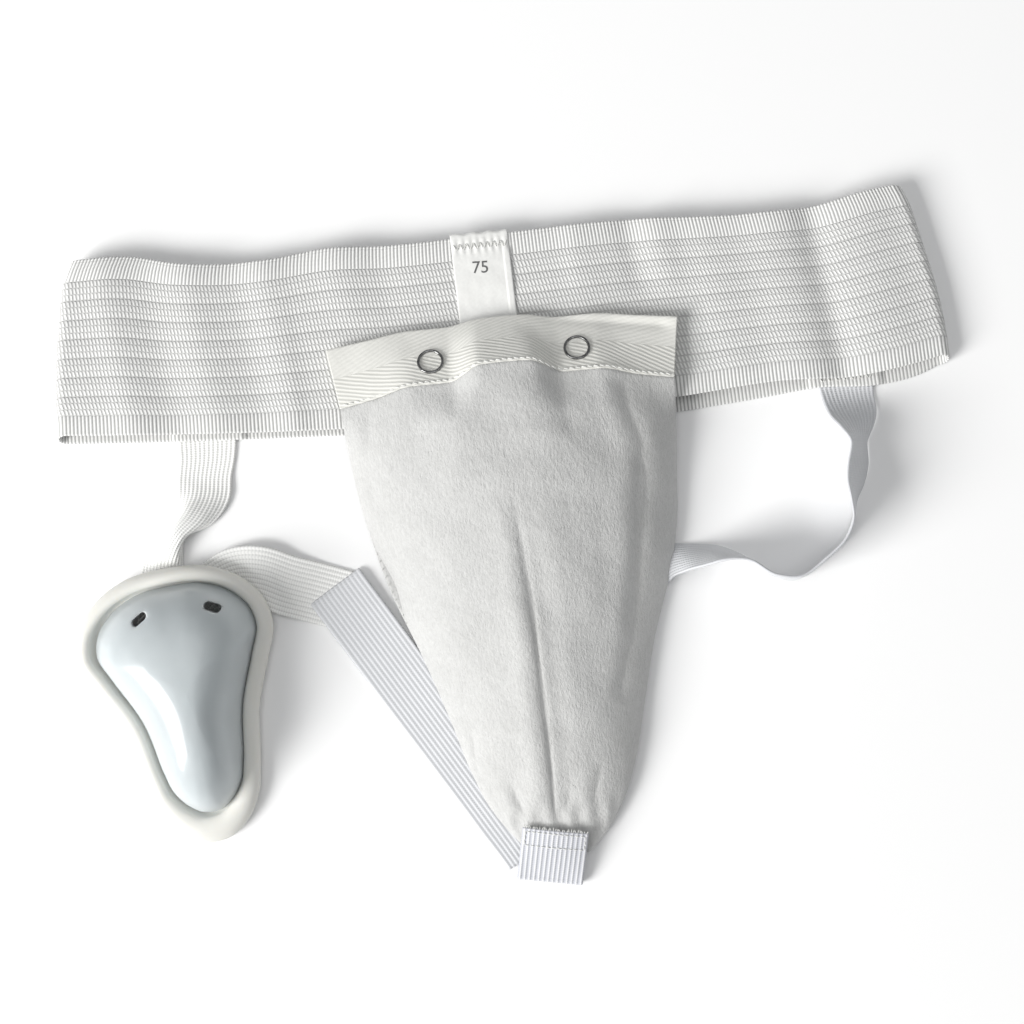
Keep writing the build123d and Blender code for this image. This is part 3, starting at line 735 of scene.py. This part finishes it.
def tape_row(front, share, pitch, slant, fill):
    """Stitches along a tape, a share of the way down from its upper edge."""
    row = []
    for x in np.arange(-67.5, 69.5, pitch):
        a, b = tape_point(x, share - slant, front), tape_point(x + pitch * fill, share + slant, front)
        row.append(stitch_arc(a, b, (0, 0.25, 0.97), 0.28))
    return row


front_tape = make_tape("header_tape_front", True)
back_tape = make_tape("header_tape_back", False)
header_stitches = thread_piece("header_stitches", tape_row(True, 0.955, 2.5, 0.012, 0.84), 0.25, "header")
back_stitches = thread_piece("back_tape_stitches", tape_row(False, 0.08, 3.2, 0.0, 0.75), 0.2, "garment")


# ======== pouch ========
# (y, middle x, half width, edge z, front height, back height, roundness)
POUCH = ((82, 1.0, 71.5, 13.2, 16.6, 7.6, 1.0), (68, 1.0, 70.0, 12.2, 19.0, 7.6, 0.92),
         (58, 1.2, 69.8, 10.5, 21.6, 6.4, 0.8), (44, 1.6, 69.0, 7.2, 25.6, 4.2, 0.68),
         (28, 2.0, 67.4, 4.7, 28.0, 1.9, 0.70), (12, 3.0, 65.2, 3.7, 27.8, 0.0, 0.76),
         (-10, 3.6, 60.0, 3.7, 25.9, 0.0, 0.80), (-40, 4.2, 49.4, 3.7, 22.6, 0.0, 0.82),
         (-68, 5.2, 41.2, 3.9, 18.6, 0.0, 0.80), (-90, 5.6, 35.0, 4.7, 13.8, 0.0, 0.74),
         (-106, 5.9, 28.6, 4.7, 9.2, 0.0, 0.66), (-118, 6.2, 20.8, 4.7, 4.8, 0.0, 0.72),
         (-128, 5.7, 12.0, 4.7, 1.9, 0.0, 0.8))
POUCH_TIP = -128.0
MOUTH_HALF = 71              # half width along the header's seam
FLEECE_T = 1.2
BACKING_T = 0.9
# long creases: ((y, x) down the crease, depth, width, (y where it starts, y where it ends))
CREASES = (
    (((72, 48.8), (59, 49.8), (41, 54.2), (30, 52.2), (-20, 45.5), (-41, 40.2)), 1.1, 3.2, (74, -38)),
    (((42, 53.5), (30, 55.0), (4, 51.4), (-31, 45.4), (-53, 38.6), (-70, 34.5)), 0.9, 2.6, (38, -66)),
    (((-66, -27.5), (-90, -27.0), (-104, -26.0)), 0.8, 2.0, (-68, -100)),
    (((-92, -13.5), (-98, -12.0), (-112, -7.0)), 0.9, 1.8, (-92, -112)),
    (((-96, 12.0), (-112, 8.0)), 0.7, 1.8, (-98, -112)),
    (((-84, 27.0), (-112, 19.0)), 0.7, 2.4, (-86, -110)),
    (((80, 20.0), (60, 24.0), (40, 27.0)), 0.9, 6.0, (84, 44)),
    (((74, -56.0), (40, -60.0), (16, -58.0)), 0.8, 4.0, (76, 20)),
)
# (y, x) down the middle seam
DART = ((38, 0.6), (20, -0.2), (1, 1.2), (-25, 2.7), (-56, 3.6), (-82, 4.2), (-112, 4.1))


def pouch_row(y, column):
    rows = POUCH[::-1]
    return smooth([row[0] for row in rows], [row[column] for row in rows], y)


def pouch_detail(x, y, s):
    """Seam, creases and soft swellings of the pouch front, as added height."""
    d = x - through(DART, y)
    deep = ease(-37, 12, -y) * ease(-114, -100, y)
    made = deep * (1.3 * bell(d, -6.5, 5.5) - 0.9 * bell(d, 5.5, 5.0) - 1.5 * np.exp(-abs(d) / 1.25))
    for path, depth, width, (start, end) in CREASES:
        share = ease(-start, -start + 8, -y) * ease(end, end + 8, y)
        off = x - through(path, y)
        made = made - depth * share * np.exp(-(abs(off) / width) ** 1.3)
        made = made + 0.5 * depth * share * bell(off, -2.2 * width, 1.6 * width)
    made = made + 0.9 * bell(x, 60, 9) * bell(y, 48, 16) - 0.8 * bell(x, -34, 10) * bell(y, 40, 22)
    made = made + 0.35 * np.sin(x * 0.16 + y * 0.05) * np.sin(y * 0.07 + 1.0)
    pucker = 0.45 * np.sin(x * 0.75 + 0.4) * ease(100, 112, -y)
    return (made + pucker) * ease(0.0, 0.16, 1 - abs(s))


def pouch_outer(s, y):
    """Outer face of the pouch front at a share of its half width and at y."""
    half = pouch_row(y, 2)
    pulled = 1 - 0.05 * bell(y, -8, 12) * ease(0.5, 1.0, -s)
    x = pouch_row(y, 1) + s * half * pulled
    z = pouch_row(y, 3) + pouch_row(y, 4) * np.maximum(1 - s * s, 0) ** pouch_row(y, 6)
    top, low, rise = header_at(x, True)
    seam_z = FRONT_Z + TAPE_T * 0.55 + rise
    below = low - y
    z = seam_z + (z - seam_z) * ease(-1.0, 17, below) + pouch_detail(x, y, s) * ease(0, 9, below)
    under = ease(-0.6, 0.6, -below)              # the margin that goes up behind the tape
    z = z - under * (0.9 + (y - low) * np.clip(rise / TAPE_W, 0, 1))
    return np.stack([x, y, z], -1)


def flat_lengths(grid):
    """Flat positions of a grid's points, from lengths along its middle column and its rows."""
    middle = grid.shape[1] // 2
    v = np.array([run_along(row) for row in grid])
    u = run_along(grid[:, middle])[:, None] + 0 * v
    return np.stack([u, v - v[:, middle:middle + 1]], -1)


def make_pouch():
    turn = np.linspace(-math.pi / 2, math.pi / 2, 161)
    s = np.sin(turn)
    _, seam, _ = header_at(POUCH_X + s * MOUTH_HALF, True)
    first, last = 0.2, 195.0                     # from just below the seam to the tip
    below = np.concatenate([[-2.6, -1.3, -0.3], np.linspace(first, last, 205)])
    share = np.clip((below - first) / (last - first), 0, 1)[:, None]
    y = (seam - np.minimum(below, first)[:, None]) * (1 - share) + POUCH_TIP * share
    y = np.where(below[:, None] <= first, seam - below[:, None], y)
    outer = pouch_outer(s + 0 * y, y)
    made = cloth("pouch_front_panel", outer, flat_lengths(outer), 0.0, FLEECE_T, FLEECE)
    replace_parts(tidy(made), "pouch_front_panel")
    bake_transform(made)     # metres

    s = np.concatenate([np.linspace(-1, -0.86, 8), np.linspace(-0.82, 0.82, 50), np.linspace(0.86, 1, 8)])
    _, seam, _ = header_at(POUCH_X + s * (MOUTH_HALF - 1), False)
    share = np.linspace(0, 1, 120)[:, None]
    y = (seam + 1.5) * (1 - share) + POUCH_TIP * share
    half = pouch_row(y, 2)
    inside = np.clip(abs(s) * half / (half - 4), 0, 1)
    z = pouch_row(y, 3) + pouch_row(y, 5) * (1 - inside ** 2) ** 0.6 - BACKING_T / 2
    back = np.stack([pouch_row(y, 1) + s * half, y, z], -1)
    edge = soft_edge((s + 1) * half, 2 * half, BACKING_T / 2)
    made = tidy(cloth("pouch_back_panel", back, flat_lengths(back), edge, edge, FLEECE))
    take_part(made, "pouch_back_panel", "garment")
    pouch_seams()


def pouch_seams():
    """Overlock threads that wrap the side seams."""
    loops = []
    for side in (-1, 1):
        for y in np.arange(64, -112, -3.4):
            x = float(pouch_row(y, 1) + side * pouch_row(y, 2))
            z = float(pouch_row(y, 3))
            bow = [(0.55 * math.cos(a) - 0.6, math.sin(a)) for a in np.linspace(-1.5, 1.5, 5)]
            loops.append([(x + side * out, y + 0.5 * rise, z - 0.2 + rise) for out, rise in bow])
    return thread_piece("pouch_seam_stitches", loops, 0.17, "garment")


make_pouch()


# ======== leg elastics ========
LEG_T = 1.2
FLAT = 0.66                  # middle height of a leg elastic lying on the table
CURL_ZONE = (0.03, 0.34)     # shares of the width, from the middle line outwards, over which it curls
SKEW_FADE = 16.0             # length over which a slanted end straightens out
TACK_W = 23.0
# (x, y, z, heading, roll, width) of the elastic's middle, then the curl of its left and right side if any;
# angles in degrees
LEFT_UPPER = (
    (-128.2, 73.5, FLAT, -90, 0, 25), (-128.2, 62, FLAT, -90, 0, 25), (-128.9, 54, FLAT, -92, 0, 24),
    (-130.6, 46, 0.9, -94, 0, 23), (-131.8, 37.5, 3.2, -97, 3, 22.5, -10, -18),
    (-136.0, 29.8, 6.8, -113, 5, 20, -44, -66), (-143.0, 23.2, 8.2, -138, 4, 15, -100, -104),
    (-148.0, 16.8, 6.4, -130, 0, 17, -66, -70), (-151.6, 10.0, 3.0, -112, 0, 19, -22, -28),
    (-153.0, 1, FLAT, -96, 0, 20), (-154.0, -11, FLAT, -80, 0, 22), (-153.0, -16.7, FLAT, -80, 0, 22))
LEFT_LOOP = (
    (-153.0, -16.7, 1.98, 40, 0, 22), (-147, -11.7, 1.98, 40, 0, 22), (-139, -5.6, 1.8, 38, 0, 22),
    (-130.5, -0.2, 0.9, 32, -4, 22), (-121.5, 3.0, 1.3, 16, -10, 24), (-111, 1.6, 3.0, -12, -6, 26),
    (-100, -3.4, 2.5, -21, 0, 26), (-89, -7.4, 1.1, -20, 0, 26), (-76, -12.2, FLAT, -20, 0, 26))
LEFT_DIAGONAL = (
    (-79.9, -5.8, 1.05, -59, 0, 26), (-79.4, -6.6, 2.1, -59, 0, 26), (-77.6, -9.6, 2.75, -59, 0, 26),
    (-70.0, -22.2, 2.3, -59, 0, 26), (-54, -49, 0.75, -59.5, 0, 26), (-40, -72.2, FLAT, -59, 0, 25.5),
    (-26, -95.5, 0.8, -59, 0, 25), (-18, -108.5, 1.9, -59, 0, 25), (-9, -124, 1.9, -61, 0, 24),
    (-7, -127.5, 1.9, -62, 0, 24))
RIGHT = (
    (145.0, 69.5, FLAT, -90, 0, 25), (145.0, 61, FLAT, -90, 0, 24), (145.3, 54, 2.0, -90, 6, 23),
    (146.0, 47, 5.2, -90, 20, 23.5), (146.4, 40.5, 10.0, -90, 46, 25), (145.9, 33.5, 12.4, -93, 64, 26),
    (144.8, 25, 12.0, -97, 60, 26), (143.2, 18, 12.2, -100, 63, 26), (141.4, 10, 13.1, -101, 74, 26),
    (140.4, 2, 13.4, -106, 78.5, 26), (137.0, -5.2, 13.4, -125, 79.5, 26),
    (126.8, -13.9, 13.4, -143, 81.4, 26), (114.3, -20.2, 13.5, -165, 84.3, 26),
    (104.0, -17.3, 13.6, -197, 90, 26), (93.0, -9.4, 13.4, -210, 93, 26), (84.0, -7.0, 12.9, -188, 102, 25),
    (76.0, -7.1, 10.3, -180, 114, 21), (69.0, -7.4, 7.5, -178, 128, 18), (63.0, -8.2, 3.9, -172, 154, 15.5),
    (57.0, -11.0, 1.4, -155, 176, 18), (46.0, -26, FLAT, -124, 180, 22), (37.0, -50, FLAT, -110, 180, 26),
    (29.0, -72, FLAT, -110, 180, 26), (18.0, -97, 3.12, -110, 180, 24), (8.0, -122, 3.12, -106, 180, 20))


def leg_rows(stations, skew=(0.0, 0.0)):
    """Rows of points across a leg elastic, a millimetre apart. skew slants the first and last rows
    along the elastic."""
    table = np.array([station + (0,) * (8 - len(station)) for station in stations], float)
    knots = run_along(table[:, :3])
    at = np.linspace(0, knots[-1], int(knots[-1]))
    table[:, 3] = np.degrees(np.unwrap(np.radians(table[:, 3])))
    x, y = (smooth(knots, table[:, k], at, True) for k in (0, 1))
    z, width = (smooth(knots, table[:, k], at) for k in (2, 5))
    heading, roll, curl_left, curl_right = (np.radians(smooth(knots, table[:, k], at)) for k in (3, 4, 6, 7))
    ahead = np.stack([np.cos(heading), np.sin(heading), 0 * heading], -1)
    side = np.stack([np.sin(heading), -np.cos(heading), 0 * heading], -1)
    up = np.array([0, 0, 1.0])
    wide = side * np.cos(roll)[:, None] + up * np.sin(roll)[:, None]
    normal = -side * np.sin(roll)[:, None] + up * np.cos(roll)[:, None]
    share = LEG_SHARE - 0.5
    bend = curl_right[:, None] * ease(*CURL_ZONE, share) - curl_left[:, None] * ease(*CURL_ZONE, -share)
    step = np.diff(share, prepend=share[0]) * width[:, None]
    run_wide, run_up = np.cumsum(step * np.cos(bend), 1), np.cumsum(step * np.sin(bend), 1)
    middle = np.argmin(abs(share))
    run_wide, run_up = run_wide - run_wide[:, middle:middle + 1], run_up - run_up[:, middle:middle + 1]
    points = (np.stack([x, y, z], -1)[:, None] + run_wide[..., None] * wide[:, None]
              + run_up[..., None] * normal[:, None])
    slant = skew[0] * (1 - ease(0, SKEW_FADE, at)) + skew[1] * ease(knots[-1] - SKEW_FADE, knots[-1], at)
    slide = slant[:, None] * share * width[:, None]
    return points + slide[..., None] * ahead[:, None]


def elastic_across(width):
    """Places across a ribbed elastic: closer together at both edges."""
    edge = np.array([0, 0.25, 0.6])
    return np.concatenate([edge, np.arange(1.0, width - 0.9, 0.5), width - edge[::-1]])


def ribbed_half(across, width, depth):
    """Half thickness of a ribbed elastic, with grooves of the given depth."""
    rib = (1 - np.cos(2 * math.pi * across / LEG_PITCH)) / 2
    return soft_edge(across, width, LEG_T / 2, 0.6) - depth * (1 - rib)


LEG_W = 26.0
LEG_ACROSS = elastic_across(LEG_W)
LEG_SHARE = LEG_ACROSS / LEG_W


def leg_piece(name, rows, node, material):
    """A leg elastic's mesh: lengthwise ribs stand proud on both faces."""
    along = run_along(rows[:, rows.shape[1] // 2])
    half = ribbed_half(LEG_ACROSS, LEG_W, 0.09)
    made = cloth(name, rows, flat_grid(along, LEG_ACROSS + LEG_PITCH / 2), half, half, material)
    stay_above_floor(tidy(made))
    return take_part(made, node, "garment"), along[-1]


def fold_rows(last, first, radius, outward):
    """Rows that carry a flat elastic over a fold, from one row of points to the one lying above it."""
    made, steps = [], 7
    for k in range(1, steps):
        turn = math.pi * k / steps
        share = (1 - math.cos(turn)) / 2
        made.append(last * (1 - share) + first * share + np.array(outward) * radius * math.sin(turn))
    return np.array(made)


def make_legs():
    # under the cup the elastic is folded flat: it arrives at -80 degrees and leaves at 40,
    # so the fold lies along -20 degrees, halfway between
    arrive, leave = math.radians(-80.0), math.radians(40.0)
    crease = (arrive + leave) / 2
    slant = 1 / math.tan(leave - crease)
    upper = leg_rows(LEFT_UPPER, (0, -slant))
    loop = leg_rows(LEFT_LOOP, (slant, 0))[:, ::-1]
    out = (math.sin(crease), -math.cos(crease), 0)
    turn = fold_rows(upper[-1], loop[0], FLAT, out)
    rows = np.concatenate([upper, turn, loop])
    made, length = leg_piece("leg_strap_left_upper", rows, "leg_strap_left", LEG)
    made, length = leg_piece("leg_strap_left_lower", leg_rows(LEFT_DIAGONAL), "leg_strap_left", SMOOTH_LEG)
    made, length = leg_piece("leg_strap_right", leg_rows(RIGHT), "leg_strap_right", SMOOTH_LEG)


def make_tacks():
    """Zigzag rows that sew the leg elastics behind the band."""
    for x, label in zip(STRAP_X, ("left", "right")):
        hem = float(through(FAR_LOW, x))
        rows = []
        for lift in (4.0, 9.0):
            rows += zigzag(x - TACK_W / 2, TACK_W, 14, hem + lift, 1.1, 2.85, 0.15, 0.1)
        thread_piece("strap_tack_" + label, rows, 0.2, "garment")


make_legs()
make_tacks()


# ======== crotch tab ========
TAB_W = 28.0
TAB_TOP_Y, TAB_FOLD_Y = -116.2, -137.6
TAB_TOP_Z = 12.2             # middle of the front leaf at its upper edge
TAB_BEND_R = 1.85
TAB_MID_X, TAB_MID_Y = 1.6, -127.0
TAB_LOW_Z = 0.6              # middle of the back leaf
TAB_TURN = -11.0


def turned(points):
    """Turns points with the tab, which lies askew to the pouch."""
    cos, sin = math.cos(math.radians(TAB_TURN)), math.sin(math.radians(TAB_TURN))
    x, y = points[..., 0] - TAB_MID_X, points[..., 1] - TAB_MID_Y
    return np.stack([x * cos - y * sin + TAB_MID_X, x * sin + y * cos + TAB_MID_Y, points[..., 2]], -1)


def tab_leaf(x, y):
    """Height of the front leaf's middle surface: a ramp that arches over the pouch tip."""
    share = (y - TAB_FOLD_Y) / (TAB_TOP_Y - TAB_FOLD_Y)
    across = (x - TAB_MID_X) / (TAB_W / 2)
    low = 2 * TAB_BEND_R + TAB_LOW_Z
    ramp = low + (TAB_TOP_Z - low) * share ** 0.9
    return ramp + (0.6 - 1.5 * across ** 2) * np.sin(np.clip(share, 0, 1) * math.pi * 0.62)


def make_tab():
    across = elastic_across(TAB_W)
    x = TAB_MID_X - TAB_W / 2 + across
    rows = [np.stack([x, 0 * x + y, tab_leaf(x, y)], -1) for y in np.linspace(TAB_TOP_Y, TAB_FOLD_Y, 60)]
    for turn in np.linspace(0, math.pi, 14)[1:]:
        rows.append(np.stack([x, 0 * x + TAB_FOLD_Y - TAB_BEND_R * math.sin(turn),
                              0 * x + TAB_LOW_Z + TAB_BEND_R * (1 + math.cos(turn))], -1))
    for y in np.linspace(TAB_FOLD_Y, TAB_TOP_Y + 4, 40)[1:]:
        rows.append(np.stack([x, 0 * x + y, 0 * x + TAB_LOW_Z + FLOOR_GAP], -1))
    middle = turned(np.array(rows))
    along = run_along(middle[:, 28])
    half = ribbed_half(across, TAB_W, 0.14)
    made = tidy(cloth("crotch_tab", middle, flat_grid(along, across + LEG_PITCH / 2), half, half, TAB))
    stay_above_floor(made)
    return take_part(made, "crotch_tab", "garment"), along[-1]


def make_tab_stitches():
    """A box of stitches at the upper edge, and the frayed upper edge."""
    low, high = TAB_MID_X - TAB_W / 2 + 1.4, TAB_MID_X + TAB_W / 2 - 1.4
    first, second = TAB_TOP_Y - 1.3, TAB_TOP_Y - 7.4
    corners = [(low, first), (high, first), (high, second), (low, second), (low, first)]
    rows = []
    for (ax, ay), (bx, by) in zip(corners, corners[1:]):
        count = round(math.hypot(bx - ax, by - ay) / 2.2)
        for k in range(count):
            shares = ((k + 0.1) / count, (k + 0.9) / count)
            points = [(ax + (bx - ax) * share, ay + (by - ay) * share) for share in shares]
            ends = [turned(np.array([px, py, tab_leaf(px, py) + LEG_T / 2])) for px, py in points]
            rows.append(stitch_arc(*ends, (0, -0.35, 0.93), 0.3))
    fray = np.random.default_rng(7)
    for x in np.arange(low - 0.8, high + 0.8, 0.95):
        sway, rise = fray.uniform(-0.4, 0.4), fray.uniform(0.7, 1.5)
        root = np.array([x, TAB_TOP_Y + 0.1, tab_leaf(x, TAB_TOP_Y) + 0.2])
        rows.append(turned(np.array([root, root + (sway, rise * 0.6, 0.25), root + (sway * 2, rise, 0.0)])))
    return thread_piece("tab_stitches", rows, 0.19, "garment")


tab, tab_length = make_tab()
make_tab_stitches()


# ======== cup ========
# (half width, distance from the upper end) of the rim's outline
CUP_HALF = ((16, 1.5), (30.4, 8.6), (39.4, 20.0), (41.2, 32), (36.4, 45), (28.9, 64), (24.4, 88),
            (21.4, 100.5), (14.5, 111.5), (6.0, 117.3))
CUP_LENGTH = 118.2
# (height, share of the outline's width, share of its length, shift down) of the shell's outer face
CUP_LEVELS = ((1.2, 1.0, 1.0, 0), (9, 0.94, 0.97, 0), (17, 0.86, 0.92, -0.4), (24, 0.74, 0.83, -1.0),
              (29.3, 0.56, 0.69, -1.6), (32.8, 0.35, 0.50, -2.2), (34.4, 0.17, 0.30, -2.6),
              (34.9, 0.0, 0.0, -2.8))
SHELL_INSET = 7.2            # from the rim's outline to the shell's
CUP_WALL = 2.3
CUP_TURN, CUP_TILT = 5.6, 1.7
CUP_TOP = (-151.0, 9.0)      # where its upper end lies
CUP_TIP_Y = -108.6           # where the tilted cup's lower end touches the table
CUP_GAP = 0.06
CREST_SHIFT = 5.5            # how far the shell's crest lies to one side
VENT_X, VENT_Y = 6.0, -18.5  # midway between the vent slots
VENT_APART = 14.9            # from there to either slot
VENT_HALF, VENT_R, VENT_TURN = 1.9, 1.7, -30.0
RIM = ((10.1, 0.3), (6.5, 0.0), (2.0, 0.1), (0.5, 1.3), (0.0, 3.3), (0.6, 5.2), (2.0, 6.8), (3.9, 7.5),
       (5.5, 7.2), (6.5, 6.2), (6.9, 4.8), (8.0, 3.2), (10.1, 2.9))     # (inset, z) round the bead


def closed_curve(points, count):
    """Smooth closed curve through points, sampled evenly."""
    points = np.asarray(points, float)
    turns = np.concatenate([points, points, points, points[:1]])
    knots = run_along(turns)
    start, end = knots[len(points)], knots[2 * len(points)]
    at = np.linspace(start, end, count, endpoint=False)
    return np.stack([smooth(knots, turns[:, k], at, True) for k in (0, 1)], 1)


def cup_outline(inset, count):
    """Rim outline moved inwards, as (across, along) with the upper end at along 0."""
    half = list(CUP_HALF)
    points = [(0, 0)] + half + [(0, CUP_LENGTH)] + [(-w, d) for w, d in reversed(half)]
    line = closed_curve(points, count)
    ahead = unit(np.roll(line, -1, 0) - np.roll(line, 1, 0))
    line = line + inset * np.stack([-ahead[:, 1], ahead[:, 0]], 1)
    line[:, 0] -= 2.4 * bell(line[:, 1], 34, 20) * np.clip(-line[:, 0] / 24, 0, 1)   # fuller on one side
    line[:, 1] -= 0.72 * inset * ease(80, 112, line[:, 1])   # the rim broadens at the lower end
    return line


def place_cup(made):
    """The loose cup lies askew, with its upper end resting on the leg elastic."""
    tip = Vector((0, CUP_TIP_Y, 0)) * MM
    lean = Matrix.Rotation(math.radians(CUP_TILT), 4, "X")
    tilt = Matrix.Translation(tip) @ lean @ Matrix.Translation(-tip)
    made.data.transform(Matrix.Translation((0, 0, CUP_GAP * MM)) @ tilt @ placed(*CUP_TOP, 0, CUP_TURN))
    return made


def vent_slot(side):
    """Cutter for one of the two vent slots."""
    work = bmesh.new()
    place = placed(VENT_X + side * VENT_APART, VENT_Y - side * 0.5, 0, side * VENT_TURN)
    outline = []
    for centre, start in ((VENT_HALF, -90), (-VENT_HALF, 90)):
        for a in range(start, start + 181, 15):
            outline.append((centre + VENT_R * math.cos(math.radians(a)), VENT_R * math.sin(math.radians(a))))
    rings = [[work.verts.new(place @ (Vector((x, y, z)) * MM)) for x, y in outline] for z in (8, 44)]
    work.faces.new(rings[1])
    work.faces.new(rings[0][::-1])
    for k in range(len(outline)):
        m = (k + 1) % len(outline)
        work.faces.new((rings[0][k], rings[0][m], rings[1][m], rings[1][k]))
    mesh = bpy.data.meshes.new("vent_cutter")
    work.to_mesh(mesh)
    work.free()
    return put("vent_cutter", mesh)


def make_shell():
    count = 176
    outline = cup_outline(SHELL_INSET, count)
    levels = np.array(CUP_LEVELS)
    knots = run_along(levels[:, :2] * (1, 34))
    at = np.linspace(0, knots[-1], 64)
    z, across, along, shift = (smooth(knots, levels[:, k], at) for k in range(4))
    middle = 54.0
    x = outline[:, :1] * across + 0.8 + CREST_SHIFT * (1 - across)
    y = -(middle + (outline[:, 1:] - middle) * along + shift)
    grid = np.stack([x, y, z + 0 * x], -1)[::-1]
    around = np.linspace(0, 300, count + 1)
    made = tidy(cloth("cup_shell", grid, flat_grid(around, at), 0.0, CUP_WALL, PLASTIC, wrap=True), 0.01)
    for side in (-1, 1):
        cutter = vent_slot(side)
        cut = made.modifiers.new("vent", "BOOLEAN")
        cut.object = cutter
        cut.operation = "DIFFERENCE"
        cut.solver = "EXACT"
        final = final_mesh(made)
        made.modifiers.clear()
        made.data = final
        bpy.data.objects.remove(cutter)
    take_part(place_cup(made), "cup_shell", "cup")


def make_rim():
    count = 220
    grid = []
    for inset, z in closed_curve(RIM, 44):
        line = cup_outline(inset, count)
        grid.append(np.stack([line[:, 0], -line[:, 1], 0 * line[:, 0] + z], -1))
    grid = np.stack(grid, 1)
    sections = grid.shape[1]
    points = grid.reshape(-1, 3)
    r, c = (a.ravel() for a in np.meshgrid(np.arange(count), np.arange(sections), indexing="ij"))
    r1, c1 = (r + 1) % count, (c + 1) % sections
    faces = quads(r, r1, c, c1, sections)
    corner_uv = np.stack([np.stack([(r + ahead) * 1.5, (c + over) * 0.6], 1)
                          for ahead, over in ((0, 0), (1, 0), (1, 1), (0, 1))], 1)
    made = place_cup(tidy(piece("cup_rim", points, faces, corner_uv, RUBBER)))
    take_part(made, "cup_rim", "cup")


make_shell()
make_rim()


# ======== snaps ========
for name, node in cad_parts.items():
    if name.startswith("snap_"):
        node.data.materials.clear()
        node.data.materials.append(METAL)


# ======== stage, light and camera ========
FLOOR_REACH = 3000.0
CAMERA_AT = (-1.8, 18.6, 689)
CAMERA_TURN = -5.5
CAMERA_LENS = 56.7
# (name, place in metres, size in metres, power in watts, colour) of the soft lights, which face the object
LIGHTS = (("key", (-2.85, -1.25, 1.85), 1.8, 180.0, (1.0, 0.995, 0.985)),
          ("top", (0.1, 0.5, 2.4), 1.6, 13.0, (1, 1, 1)))
AMBIENT = 0.29


def make_stage():
    mesh = bpy.data.meshes.new("floor")
    reach = FLOOR_REACH * MM
    corners = [(-reach, -reach, 0), (reach, -reach, 0), (reach, reach, 0), (-reach, reach, 0)]
    mesh.from_pydata(corners, [], [(0, 1, 2, 3)])
    floor = put("floor", mesh)
    paper = Finish("floor_paper", 0.9)
    paper.colour(paper.noise(260.0, 2.0), (0.93, 0.93, 0.93), (0.91, 0.91, 0.91))
    mesh.materials.append(paper.material)


def make_light():
    world = bpy.data.worlds.new("studio")
    world.use_nodes = True
    background = world.node_tree.nodes["Background"]
    background.inputs["Color"].default_value = (0.97, 0.985, 1.0, 1)
    background.inputs["Strength"].default_value = AMBIENT
    bpy.context.scene.world = world
    for name, place, size, power, colour in LIGHTS:
        data = bpy.data.lights.new(name, "AREA")
        data.shape = "RECTANGLE"
        data.size = data.size_y = size
        data.energy = power
        data.color = colour
        lamp = put(name, data)
        lamp.location = place
        lamp.rotation_euler = (-Vector(place)).to_track_quat("-Z", "Y").to_euler()


def make_camera():
    data = bpy.data.cameras.new("camera")
    data.lens = CAMERA_LENS
    data.sensor_width = 36.0
    camera = put("camera", data)
    camera.location = Vector(CAMERA_AT) * MM
    camera.rotation_euler = (0, 0, math.radians(CAMERA_TURN))
    bpy.context.scene.camera = camera


make_stage()
make_light()
make_camera()
bpy.context.scene.view_settings.view_transform = "Standard"
